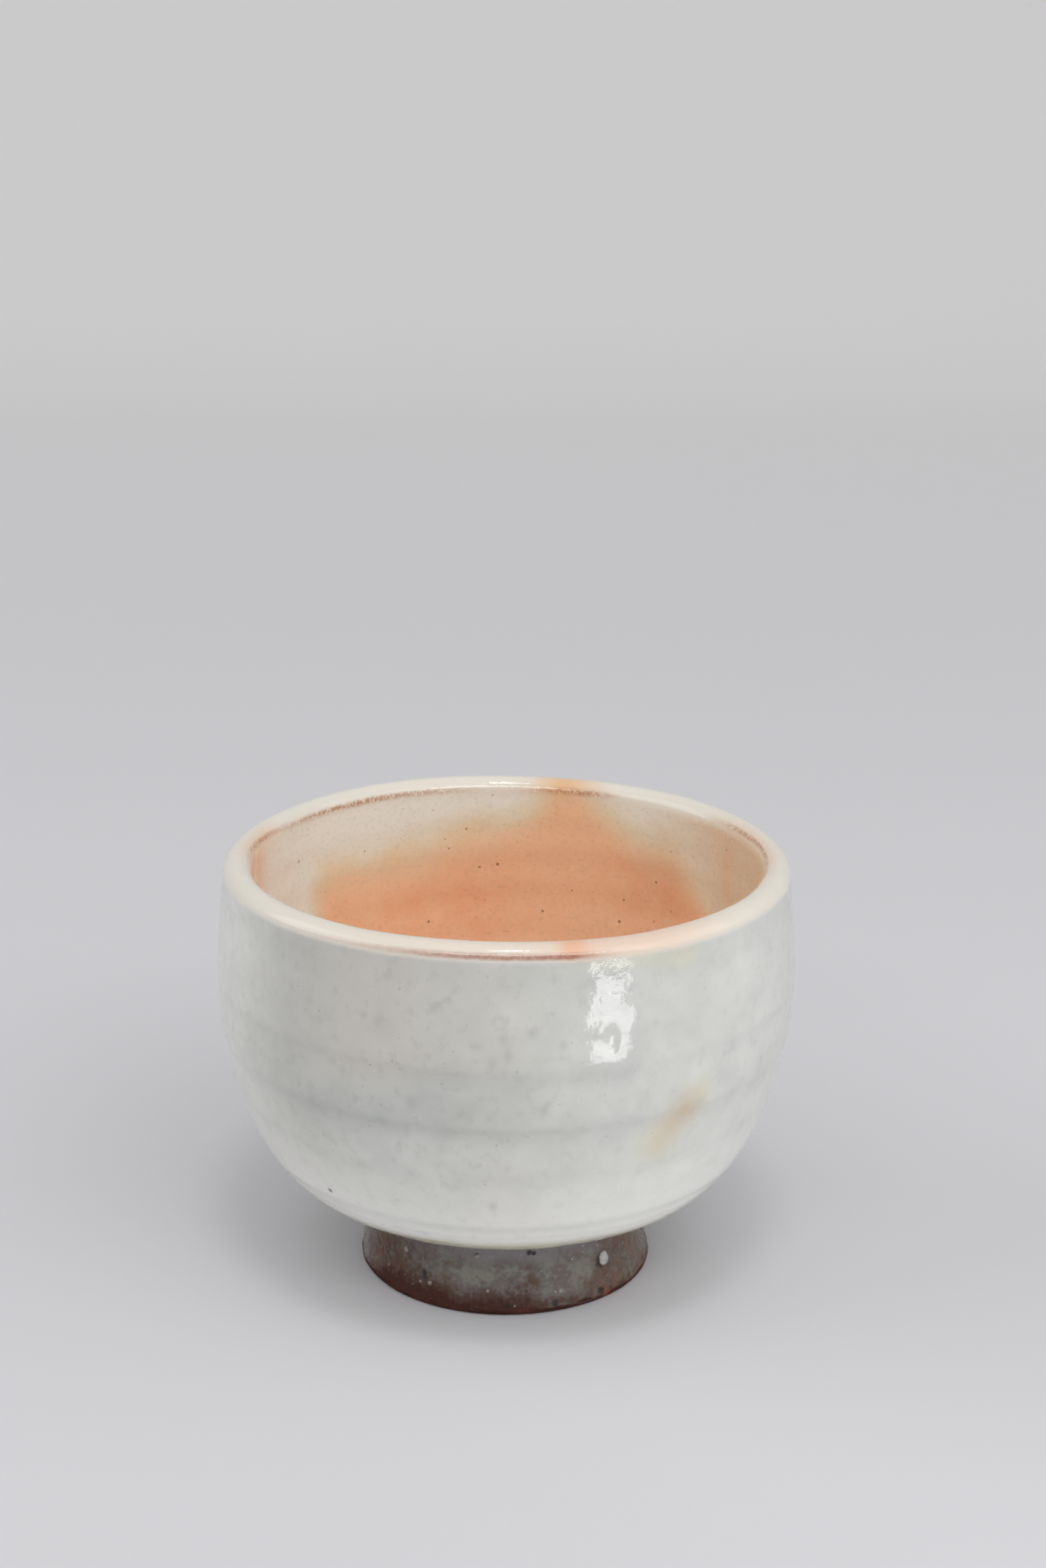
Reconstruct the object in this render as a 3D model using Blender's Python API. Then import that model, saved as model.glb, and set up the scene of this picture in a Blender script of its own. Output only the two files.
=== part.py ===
"""Handleless stoneware tea cup: a thrown bowl on a turned foot ring, and the glaze fired onto both.

Metres, +Z up. The origin is the middle of the foot's base, so the cup stands on z = 0, and its front,
the side with the large white grain in the foot, faces -Y. The bowl's sizes are measured from its seat
on top of the foot ring.
"""

import math
from typing import NamedTuple

import bmesh
import bpy
import numpy as np


class Grain(NamedTuple):
    """A grain of feldspar that shows in the side of the foot."""

    turn: float  # degrees round the foot from the front, to the right
    height: float  # of its middle, above the table
    width: float
    length: float  # up and down the foot


# Space kept between two bonded faces, and all round a grain
BOND_GAP = 0.0003
GRAIN_GAP = 0.0002

# Foot ring, in bare clay
FOOT_HEIGHT = 0.0145
FOOT_BASE_DIAMETER = 0.0440
FOOT_NECK_DIAMETER = 0.0428
FOOT_WALL = 0.0062  # at the base
WELL_TAPER = 0.0008  # by which the well's radius narrows upwards
FOOT_EDGE_ROUND = 0.0008

# Wash of glaze on the foot's side
FOOT_GLAZE = 0.0004
BARE_BAND = 0.0016  # height of the clay left bare above the table

# Glaze on the bowl
BOWL_GLAZE = 0.0007
GLAZE_EDGE_STEP = 0.0059  # from the seat's edge out to the lower edge of the white glaze
RIM_OUTER_EDGE_ANGLE = 15.0  # degrees round the lip from where it leaves the outside
RIM_INNER_EDGE_ANGLE = 25.0  # the same from the inside

# Bowl over its glaze, with heights above the seat
BELLY_DIAMETER = 0.0900
BELLY_HEIGHT = 0.0337
SHOULDER_HEIGHT = 0.0189  # from the belly up to the top of the rim
RIM_DIAMETER = 0.0875
LIP_WIDTH = 0.0044
SEAT_MARGIN = 0.0005  # of the flat seat beyond the glazed foot
SPIGOT_DEPTH = 0.0030  # of the boss under the floor that centres the foot ring

# Bowl in bare clay
CLAY_WALL = 0.0028  # at the belly
CLAY_FLOOR = 0.0035  # above the seat

# Exponents of the curves: 2 and 2 make an ellipse, and more makes a squarer corner
HEEL_DROP = 1.69
HEEL_SPREAD = 2.61
HOLLOW_DROP = 1.90
HOLLOW_SPREAD = 3.80
SHOULDER_CURVE = 1.25  # 1 is a straight cone

# Feldspar grains in the foot
GRAIN_PROUD = 0.00015  # beyond the glaze
GRAINS = (
    Grain(turn=43.6, height=0.0065, width=0.0012, length=0.0019),
    Grain(turn=-42.9, height=0.0080, width=0.0009, length=0.0010),
    Grain(turn=-30.7, height=0.0037, width=0.0009, length=0.0009),
    Grain(turn=16.7, height=0.0040, width=0.0010, length=0.0008),
    Grain(turn=-10.9, height=0.0096, width=0.0008, length=0.0009),
)

# Fineness of the meshes
SEGMENTS = 48  # round the axis
HEEL_POINTS = 13  # from the seat or the hollow's floor up to the belly
SHOULDER_POINTS = 3
LIP_POINTS = 6
EDGE_POINTS = 4
GRAIN_SEGMENTS = 10  # round a grain, and half as many from end to end
FINE = 8  # shorter steps to each point, to take a curve's directions from
SHARP_ANGLE = math.radians(35)
MERGE_DISTANCE = 1e-6

# Sizes that follow from those
BELLY_RADIUS = BELLY_DIAMETER / 2
RIM_RADIUS = RIM_DIAMETER / 2
LIP_RADIUS = LIP_WIDTH / 2
LIP_HEIGHT = BELLY_HEIGHT + SHOULDER_HEIGHT - LIP_RADIUS  # of the middle of the lip's round
BOWL_COAT = BOWL_GLAZE + BOND_GAP  # from the clay to the glazed face
FOOT_COAT = FOOT_GLAZE + BOND_GAP
HOLLOW_RADIUS = BELLY_RADIUS - CLAY_WALL - 2 * BOWL_COAT
HOLLOW_FLOOR = CLAY_FLOOR + BOWL_COAT
MOUTH_RADIUS = RIM_RADIUS - LIP_WIDTH
SEAT_RADIUS = FOOT_NECK_DIAMETER / 2 + FOOT_COAT + SEAT_MARGIN
WELL_BASE_RADIUS = FOOT_BASE_DIAMETER / 2 - FOOT_WALL
WELL_TOP_RADIUS = WELL_BASE_RADIUS - WELL_TAPER

# Angles where the lip's round leaves the outside and the inside, from its level outer side over the top
SHOULDER_RISE = LIP_HEIGHT - BELLY_HEIGHT
LIP_START = math.atan2(SHOULDER_CURVE * (BELLY_RADIUS - RIM_RADIUS), SHOULDER_RISE)
LIP_END = math.pi + math.atan2(SHOULDER_CURVE * (HOLLOW_RADIUS - MOUTH_RADIUS), SHOULDER_RISE)

# Finishes: colour, roughness
CLAY = ((0.20, 0.11, 0.08), 0.85)
WHITE_GLAZE = ((0.62, 0.62, 0.61), 0.30)
CREAM_GLAZE = ((0.74, 0.70, 0.64), 0.25)
BLUSHED_GLAZE = ((0.72, 0.47, 0.28), 0.35)
ASH_GLAZE = ((0.23, 0.22, 0.20), 0.60)
FELDSPAR = ((0.82, 0.80, 0.76), 0.45)


def clear_scene():
    for obj in list(bpy.data.objects):
        bpy.data.objects.remove(obj)


def fractions(points):
    """Even steps from 0 to 1, FINE of them for each point."""
    return np.linspace(0, 1, points * FINE + 1)


def joined(*stretches):
    """One line from stretches that each start where the one before ends."""
    return np.vstack((stretches[0], *(stretch[1:] for stretch in stretches[1:])))


def lip_line(start, end, points):
    """Part of the lip's round, between two angles counted from its level outer side over the top."""
    angle = start + (end - start) * fractions(points)
    radius = RIM_RADIUS - LIP_RADIUS + LIP_RADIUS * np.cos(angle)
    return np.column_stack((radius, LIP_HEIGHT + LIP_RADIUS * np.sin(angle)))


def shoulder_line(belly_radius, lip_angle, climb):
    """A face from the belly, at climb 0, to where it runs into the lip's round, at climb 1."""
    lip_radius, lip_height = lip_line(lip_angle, lip_angle, 1)[0]
    radius = belly_radius - (belly_radius - lip_radius) * climb**SHOULDER_CURVE
    return np.column_stack((radius, BELLY_HEIGHT + (lip_height - BELLY_HEIGHT) * climb))


def outside_line(start_radius):
    """The bowl's glazed face from a radius under its heel, round the belly, up to the lip."""
    spread = BELLY_RADIUS - SEAT_RADIUS
    drop = BELLY_HEIGHT + BOWL_COAT
    start = math.asin(((start_radius - SEAT_RADIUS) / spread) ** (HEEL_SPREAD / 2))
    turn = start + (math.pi / 2 - start) * fractions(HEEL_POINTS)
    radius = SEAT_RADIUS + spread * np.sin(turn) ** (2 / HEEL_SPREAD)
    height = BELLY_HEIGHT - drop * np.cos(turn) ** (2 / HEEL_DROP)
    shoulder = shoulder_line(BELLY_RADIUS, LIP_START, fractions(SHOULDER_POINTS))
    return joined(np.column_stack((radius, height)), shoulder)


def inside_line():
    """The glazed face of the hollow, from the lip down to the middle of the floor."""
    wall = shoulder_line(HOLLOW_RADIUS, LIP_END, 1 - fractions(SHOULDER_POINTS))
    turn = math.pi / 2 * (1 - fractions(HEEL_POINTS))
    radius = HOLLOW_RADIUS * np.sin(turn) ** (2 / HOLLOW_SPREAD)
    height = BELLY_HEIGHT - (BELLY_HEIGHT - HOLLOW_FLOOR) * np.cos(turn) ** (2 / HOLLOW_DROP)
    return joined(wall, np.column_stack((radius, height)))


def sunk(line, depth):
    """A line moved into the clay by a depth. The clay lies on the left of the way the line runs."""
    along = np.gradient(line, axis=0)
    along /= np.linalg.norm(along, axis=1, keepdims=True)
    moved = line + depth * np.column_stack((-along[:, 1], along[:, 0]))
    moved[line[:, 0] == 0, 0] = 0
    return moved


def coat_outline(line):
    """The section of a coat of the bowl's glaze whose outer face follows a line."""
    return np.vstack((line[::-FINE], sunk(line, BOWL_GLAZE)[::FINE]))


def rounded_corner(before, corner, after, radius):
    """An arc that rounds a corner of an outline, from the point before it towards the point after."""
    corner = np.array(corner)
    to_before = (before - corner) / np.linalg.norm(before - corner)
    to_after = (after - corner) / np.linalg.norm(after - corner)
    half_angle = math.acos(to_before @ to_after) / 2
    middle = (to_before + to_after) / np.linalg.norm(to_before + to_after)
    centre = corner + middle * radius / math.sin(half_angle)
    sweep = np.linspace(half_angle - math.pi / 2, math.pi / 2 - half_angle, EDGE_POINTS)[:, None]
    side = (to_after - to_before) / np.linalg.norm(to_after - to_before)
    return centre + radius * (np.sin(sweep) * side - np.cos(sweep) * middle)


def foot_radius(height):
    """Radius of the foot's bare clay side at a height above the table."""
    narrowing = (FOOT_BASE_DIAMETER - FOOT_NECK_DIAMETER) / 2
    return FOOT_BASE_DIAMETER / 2 - narrowing * height / FOOT_HEIGHT


def finish(name, look):
    """A Principled material with a colour and a roughness."""
    colour, roughness = look
    material = bpy.data.materials.new(name)
    material.use_nodes = True
    shader = material.node_tree.nodes["Principled BSDF"]
    shader.inputs["Base Color"].default_value = (*colour, 1)
    shader.inputs["Roughness"].default_value = roughness
    material.diffuse_color = (*colour, 1)
    return material


def empty(name, height, parent):
    """A bare frame for other objects, at a height on the cup's axis."""
    obj = bpy.data.objects.new(name, None)
    obj.location.z = height
    obj.parent = parent
    bpy.context.scene.collection.objects.link(obj)
    return obj


def add_object(name, mesh_maker, look, parent):
    """A smooth-shaded object from a bmesh, in its own finish."""
    mesh = bpy.data.meshes.new(name)
    mesh_maker.to_mesh(mesh)
    mesh_maker.free()
    mesh.shade_smooth()
    mesh.set_sharp_from_angle(angle=SHARP_ANGLE)
    mesh.materials.append(finish(name, look))
    obj = bpy.data.objects.new(name, mesh)
    obj.parent = parent
    bpy.context.scene.collection.objects.link(obj)
    return obj


def add_turned(name, outline, look, parent):
    """A solid turned about +Z. An outline that doesn't end on the axis is closed on itself."""
    maker = bmesh.new()
    points = [maker.verts.new((radius, 0, height)) for radius, height in outline]
    edges = [maker.edges.new(ends) for ends in zip(points, points[1:])]
    if outline[-1][0] > 0:
        edges.append(maker.edges.new((points[-1], points[0])))
    bmesh.ops.spin(
        maker, geom=points + edges, axis=(0, 0, 1), angle=math.tau, steps=SEGMENTS, use_merge=True
    )
    bmesh.ops.remove_doubles(maker, verts=maker.verts, dist=MERGE_DISTANCE)
    bmesh.ops.recalc_face_normals(maker, faces=maker.faces)
    return add_object(name, maker, look, parent)


def add_clay_bowl(parent):
    """The thrown wall and floor, with the boss under the floor that centres the foot ring."""
    lip = lip_line(LIP_START, LIP_END, LIP_POINTS)
    face = joined(outside_line(SEAT_RADIUS), lip, inside_line())
    spigot_radius = WELL_TOP_RADIUS - BOND_GAP
    spigot = ((spigot_radius, 0), (spigot_radius, -SPIGOT_DEPTH), (0, -SPIGOT_DEPTH))
    clay = sunk(face, BOWL_COAT)[::-FINE]
    add_turned("clay_bowl", np.vstack((clay, spigot)), CLAY, parent)


def add_bowl_glaze(parent):
    """The white coat outside, the lining, and the band over the rim between them."""
    gap = BOND_GAP / (LIP_RADIUS - BOWL_GLAZE)
    outer_edge = LIP_START + math.radians(RIM_OUTER_EDGE_ANGLE)
    inner_edge = LIP_END - math.radians(RIM_INNER_EDGE_ANGLE)
    rim = lip_line(outer_edge, inner_edge, LIP_POINTS)
    outside = joined(outside_line(SEAT_RADIUS + GLAZE_EDGE_STEP), lip_line(LIP_START, outer_edge - gap, 1))
    inside = joined(lip_line(inner_edge + gap, LIP_END, 1), inside_line())
    add_turned("outer_glaze", coat_outline(outside), WHITE_GLAZE, parent)
    add_turned("inner_glaze", coat_outline(inside), BLUSHED_GLAZE, parent)
    add_turned("rim_glaze", coat_outline(rim), CREAM_GLAZE, parent)


def add_foot_ring(parent):
    """The turned ring that the bowl sits on, with its standing edges rounded."""
    outer_top = (foot_radius(FOOT_HEIGHT), FOOT_HEIGHT)
    outer_base = (foot_radius(0), 0)
    inner_base = (WELL_BASE_RADIUS, 0)
    inner_top = (WELL_TOP_RADIUS, FOOT_HEIGHT)
    outer_edge = rounded_corner(outer_top, outer_base, inner_base, FOOT_EDGE_ROUND)
    inner_edge = rounded_corner(outer_base, inner_base, inner_top, FOOT_EDGE_ROUND)
    return add_turned("foot_ring", np.vstack((outer_top, outer_edge, inner_edge, inner_top)), CLAY, parent)


def add_foot_glaze(parent):
    """The thin wash on the foot's side, which stops short of the base."""
    heights = np.array((FOOT_HEIGHT, BARE_BAND))
    clay_side = np.column_stack((foot_radius(heights), heights))
    inner_face = clay_side + (BOND_GAP, 0)
    outer_face = clay_side + (FOOT_COAT, 0)
    return add_turned("foot_glaze", np.vstack((outer_face, inner_face[::-1])), ASH_GLAZE, parent)


def add_pebble(name, grain, growth, parent):
    """A rounded body of a grain's size, grown all round, at the grain's place in the foot."""
    half_sizes = np.array((grain.width, grain.width, grain.length)) / 2 + growth
    maker = bmesh.new()
    bmesh.ops.create_uvsphere(maker, u_segments=GRAIN_SEGMENTS, v_segments=GRAIN_SEGMENTS // 2, radius=1)
    bmesh.ops.scale(maker, vec=half_sizes, verts=maker.verts)
    pebble = add_object(name, maker, FELDSPAR, parent)
    turn = math.radians(grain.turn)
    reach = foot_radius(grain.height) + FOOT_COAT + GRAIN_PROUD - grain.width / 2
    pebble.location = (reach * math.sin(turn), -reach * math.cos(turn), grain.height)
    pebble.rotation_euler.z = turn
    return pebble


def add_grains(hosts, parent):
    """The grains of feldspar, each in a pocket through the foot's glaze into its clay."""
    for number, grain in enumerate(GRAINS, start=1):
        add_pebble(f"feldspar_grain_{number}", grain, 0, parent)
        cutter = add_pebble(f"pocket_cutter_{number}", grain, GRAIN_GAP, parent)
        cutter.hide_render = True
        cutter.display_type = "WIRE"
        for host in hosts:
            pocket = host.modifiers.new(f"Pocket {number}", "BOOLEAN")
            pocket.operation = "DIFFERENCE"
            pocket.object = cutter


def main():
    clear_scene()
    cup = empty("tea_cup", 0, None)
    seat = empty("bowl_seat", FOOT_HEIGHT + BOND_GAP, cup)
    add_clay_bowl(seat)
    add_bowl_glaze(seat)
    foot = (add_foot_ring(cup), add_foot_glaze(cup))
    add_grains(foot, cup)


main()
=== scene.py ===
"""Looks of a handleless stoneware tea cup: its glazed bowl, rim, lining, turned foot and the grains in it.

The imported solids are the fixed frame. Each node is replaced by a finer surface on the same section, uneven
as hand throwing leaves it, with a procedural finish. Metres, +Z up, the cup's front towards -Y. Angles
round the cup are in degrees, from the front to the right.
"""

import logging
import math
from collections.abc import Callable
from dataclasses import dataclass
from enum import Enum
from functools import cache, partial, reduce

import bpy
import numpy as np
from mathutils import Matrix, Vector


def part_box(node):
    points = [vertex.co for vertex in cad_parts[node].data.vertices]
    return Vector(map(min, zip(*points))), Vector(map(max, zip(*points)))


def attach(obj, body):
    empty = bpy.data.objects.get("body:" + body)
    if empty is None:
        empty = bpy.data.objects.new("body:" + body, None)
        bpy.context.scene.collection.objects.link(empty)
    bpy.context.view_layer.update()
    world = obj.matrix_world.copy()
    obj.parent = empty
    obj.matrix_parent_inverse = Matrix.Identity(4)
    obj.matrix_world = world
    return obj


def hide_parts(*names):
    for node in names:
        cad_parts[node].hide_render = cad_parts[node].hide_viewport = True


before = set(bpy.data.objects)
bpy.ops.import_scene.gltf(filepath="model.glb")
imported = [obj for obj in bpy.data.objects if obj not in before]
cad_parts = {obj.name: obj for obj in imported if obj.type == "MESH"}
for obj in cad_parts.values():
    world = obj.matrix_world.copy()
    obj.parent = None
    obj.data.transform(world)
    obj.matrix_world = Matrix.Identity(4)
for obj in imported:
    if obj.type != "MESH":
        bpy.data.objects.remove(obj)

log = logging.getLogger("tea_cup")

Array = np.ndarray
Masks = dict[str, Array]
Colour = tuple[float, float, float]
Point = tuple[float, float, float]
Table = tuple[tuple[float, float], ...]
Marks = tuple[tuple[float, float, float], ...]
Socket = bpy.types.NodeSocket
Feeds = dict[int | str, object]

MM = 0.001
BODY = "root"
PHOTO_WIDTH = 1200
PHOTO_HEIGHT = 1798
ON_AXIS = 1e-9
SHARP_EDGE = math.radians(50)
LOW_BITS = 0xFFFFFFFF


class Stop(Enum):
    """Named places along the line that runs up the outside, over the lip and down into the hollow."""

    GLAZE_EDGE = "lower edge of the white glaze"
    OUTER_LINE = "line where the outside's glaze meets the rim's"
    CREST = "top of the lip"
    INNER_LINE = "line where the rim's glaze meets the lining"
    FLOOR = "middle of the hollow's floor"


class Slot(Enum):
    """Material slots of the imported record."""

    BOWL_CLAY = "bowl_clay"
    FOOT_CLAY = "foot_clay"
    WHITE = "white_glaze"
    BLUSHED = "blushed_glaze"
    CREAM = "cream_glaze"
    ASH = "ash_glaze"
    FELDSPAR = "feldspar"


class Kind(Enum):
    """Kinds of socket on a shared effect."""

    NUMBER = "NodeSocketFloat"
    PLACE = "NodeSocketVector"
    COLOUR = "NodeSocketColor"


def smoothstep(low: float | Array, high: float | Array, value: Array) -> Array:
    """Eases from 0 at low to 1 at high, which may lie below low: 3t^2 - 2t^3 of the way t between them."""
    share = np.clip((value - low) / (high - low), 0.0, 1.0)
    return share * share * (3.0 - 2.0 * share)


def hump(value: Array, middle: float | Array, width: float | Array) -> Array:
    """A bell curve of height 1, exp(-t^2) with t the distance from its middle in widths."""
    return np.exp(-(((value - middle) / width) ** 2))


def turn_between(angle: Array, middle: float) -> Array:
    """The signed angle from a middle, folded to -180 up to 180."""
    return (angle - middle + 180.0) % 360.0 - 180.0


def around(radius: float | Array, angle: float | Array, height: float | Array) -> Array:
    """Points at distances from the axis, angles round it and heights, with x, y and z on the last axis."""
    turn = np.radians(angle)
    return np.stack(np.broadcast_arrays(radius * np.sin(turn), -radius * np.cos(turn), height), axis=-1)


def waves(angle: Array, table: Marks) -> Array:
    """The sum of cosine waves round the cup, from each one's count, size in millimetres and shift."""
    return sum(size * MM * np.cos(np.radians(count * angle + shift)) for count, size, shift in table)


def round_about(angle: Array, table: Table, soft: float = 3.0) -> Array:
    """A value that changes round the cup.

    Args:
        angle: Angles.
        table: Pairs of an angle and the value there, with straight changes between them.
        soft: How far each way the values are averaged, in degrees.

    Returns:
        The values at the angles.
    """
    turns, values = zip(*table)
    near = np.linspace(-1.0, 1.0, 9)
    weight = 1.0 - np.abs(near) + 0.1
    parts = [np.interp(angle + soft * step, turns, values, period=360.0) for step in near]
    return np.stack(parts, axis=-1) @ weight / weight.sum()


@dataclass(frozen=True)
class Patch:
    """A soft patch on a wall, in degrees round the cup and millimetres up it."""

    strength: float
    turn: float
    turn_width: float
    height: float = 0.0
    height_width: float = math.inf

    def at(self, angle: Array, height: Array) -> Array:
        """Its strength at points: a bell curve round the cup times one up the wall."""
        beside = hump(turn_between(angle, self.turn), 0.0, self.turn_width)
        return self.strength * beside * hump(height, self.height, self.height_width)


def patched(patches: tuple[Patch, ...], angle: Array, height: Array) -> Array:
    """The sum of patches at points."""
    return sum(patch.at(angle, height) for patch in patches)


@dataclass(frozen=True)
class Unevenness:
    """A smooth random field in space, the same on every run."""

    seed: int
    primes: tuple[int, int, int] = (73856093, 19349663, 83492791)
    seed_step: int = 2654435761
    mixing: tuple[tuple[int, int], ...] = ((13, 1274126177), (16, 2246822519), (15, 1))

    def lattice(self, corner: Array) -> Array:
        """A random value for each whole-numbered corner of a lattice.

        Args:
            corner: Integer coordinates, with x, y and z on the last axis.

        Returns:
            One value per corner, from -1 to 1, from a hash of its coordinates.
        """
        mixed = corner.astype(np.int64) @ np.array(self.primes) + self.seed * self.seed_step
        for shift, factor in self.mixing:
            mixed = (((mixed ^ (mixed >> shift)) & LOW_BITS) * factor) & LOW_BITS
        return (mixed & 0xFFFFFF) / 0x7FFFFF - 1.0

    def at(self, place: Array, size: float) -> Array:
        """The field at some places: lattice values blended by a cubic in each direction.

        Args:
            place: Points, with x, y and z on the last axis.
            size: Distance between lattice corners.

        Returns:
            Values from -1 to 1.
        """
        scaled = place / size
        base = np.floor(scaled).astype(np.int64)
        ease = smoothstep(0.0, 1.0, scaled - base)
        total = np.zeros(place.shape[:-1])
        for step in np.ndindex(2, 2, 2):
            share = np.prod(np.where(np.array(step) == 1, ease, 1.0 - ease), axis=-1)
            total += share * self.lattice(base + np.array(step))
        return total

    def rough(self, place: Array, size: float, octaves: int) -> Array:
        """The sum of octaves of the field, each half as large and half as strong as the one before."""
        return sum(self.at(place + 7.0 * size * step, size / 2**step) / 2**step for step in range(octaves))


@dataclass(frozen=True)
class Ring:
    """A ring left by the thrower's fingers or the turning tool, of another depth to the right."""

    height: float
    above: float
    below: float
    depth: float
    right: float = 1.0
    right_turn: float = 40.0
    right_width: float = 26.0

    def at(self, height: Array, angle: Array) -> Array:
        """The groove: a bell curve up the wall, steeper above its deepest line than below.

        Args:
            height: Heights of points on the wall.
            angle: Their angles.

        Returns:
            How far the wall stands back, as a distance below zero.
        """
        change = Patch(1.0 - self.right, self.right_turn, self.right_width).at(angle, height)
        side = np.where(height > self.height, self.above, self.below)
        return -self.depth * (1.0 - change) * hump(height, self.height, side)


@dataclass
class SectionRows:
    """Points along part of a section line, with their outward directions."""

    radius: Array
    height: Array
    out_radius: Array
    out_height: Array
    arc: Array


class SectionLine:
    """A section's line, measured by the distance along it."""

    def __init__(self, radius: Array, height: Array) -> None:
        """Measures the line.

        Args:
            radius: Distance of its points from the axis. The body lies to the left of the way it runs.
            height: Height of its points.
        """
        self.radius = radius
        self.height = height
        self.arc = np.concatenate(([0.0], np.cumsum(np.hypot(np.diff(radius), np.diff(height)))))
        along = np.column_stack((np.gradient(radius, self.arc), np.gradient(height, self.arc)))
        along /= np.linalg.norm(along, axis=1, keepdims=True)
        self.out_radius = along[:, 1]
        self.out_height = -along[:, 0]

    def rows(self, arc: Array) -> SectionRows:
        """The points at distances from its start, and their outward directions."""
        lines = (self.radius, self.height, self.out_radius, self.out_height)
        return SectionRows(*(np.interp(arc, self.arc, line) for line in lines), arc)


def ring_mesh(name: str, points: Array, closed: bool, masks: Masks) -> bpy.types.Object:
    """An object from a grid of points that goes round the axis.

    A row whose points all lie on the axis becomes one point, with triangles round it. Faces point outwards
    where the rows run up an outside and the columns run to the right.

    Args:
        name: Name of the object.
        points: Grid of rows by columns by 3.
        closed: Whether the last row joins the first one again.
        masks: Values for the finish, by name, on the first rows. The last of them holds on the rest.

    Returns:
        The new object, at the origin.
    """
    rows, columns = points.shape[:2]
    on_axis = np.all(np.hypot(points[..., 0], points[..., 1]) < ON_AXIS, axis=1)
    starts = np.concatenate(([0], np.cumsum(np.where(on_axis, 1, columns))[:-1]))
    column = np.arange(columns)
    index = starts[:, None] + np.where(on_axis[:, None], 0, column[None, :])
    below = index if closed else index[:-1]
    above = np.roll(index, -1, axis=0) if closed else index[1:]
    quads = np.stack((below, np.roll(below, -1, axis=1), np.roll(above, -1, axis=1), above), axis=-1)
    quads = quads.reshape(-1, 4)
    fan_below = quads[:, 0] == quads[:, 1]
    fan_above = quads[:, 2] == quads[:, 3]
    faces = quads[~(fan_below | fan_above)].tolist()
    faces += quads[fan_below][:, (0, 2, 3)].tolist()
    faces += quads[fan_above][:, (0, 1, 2)].tolist()
    kept = np.where(on_axis[:, None], column[None, :] == 0, True)
    mesh = bpy.data.meshes.new(name)
    mesh.from_pydata(points[kept].tolist(), [], faces)
    for mask_name, mask in masks.items():
        spread = np.broadcast_to(mask, (len(mask), columns))
        spread = np.concatenate((spread, np.repeat(spread[-1:], rows - len(mask), axis=0)))
        layer = mesh.attributes.new(mask_name, "FLOAT", "POINT")
        layer.data.foreach_set("value", np.ascontiguousarray(spread[kept], dtype=np.float32))
    mesh.update()
    mesh.shade_smooth()
    mesh.set_sharp_from_angle(angle=SHARP_EDGE)
    piece = bpy.data.objects.new(name, mesh)
    bpy.context.scene.collection.objects.link(piece)
    return piece


def dress(piece: bpy.types.Object, finish: "Finish", slot: Slot, *nodes: str) -> None:
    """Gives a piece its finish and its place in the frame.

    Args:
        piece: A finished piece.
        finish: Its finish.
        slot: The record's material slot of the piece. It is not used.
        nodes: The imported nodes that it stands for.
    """
    piece.data.materials.append(finish.material())
    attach(piece, BODY)
    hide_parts(*nodes)
    log.info("%s: %d faces", piece.name, len(piece.data.polygons))


@dataclass(frozen=True)
class Cloud:
    """Soft clouds, of a size in millimetres."""

    size: float
    contrast: float


@dataclass(frozen=True)
class Spots:
    """Scattered round spots, sizes in millimetres, on a share of the cells that they are spaced by."""

    spacing: float
    radius: float
    share: float


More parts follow.
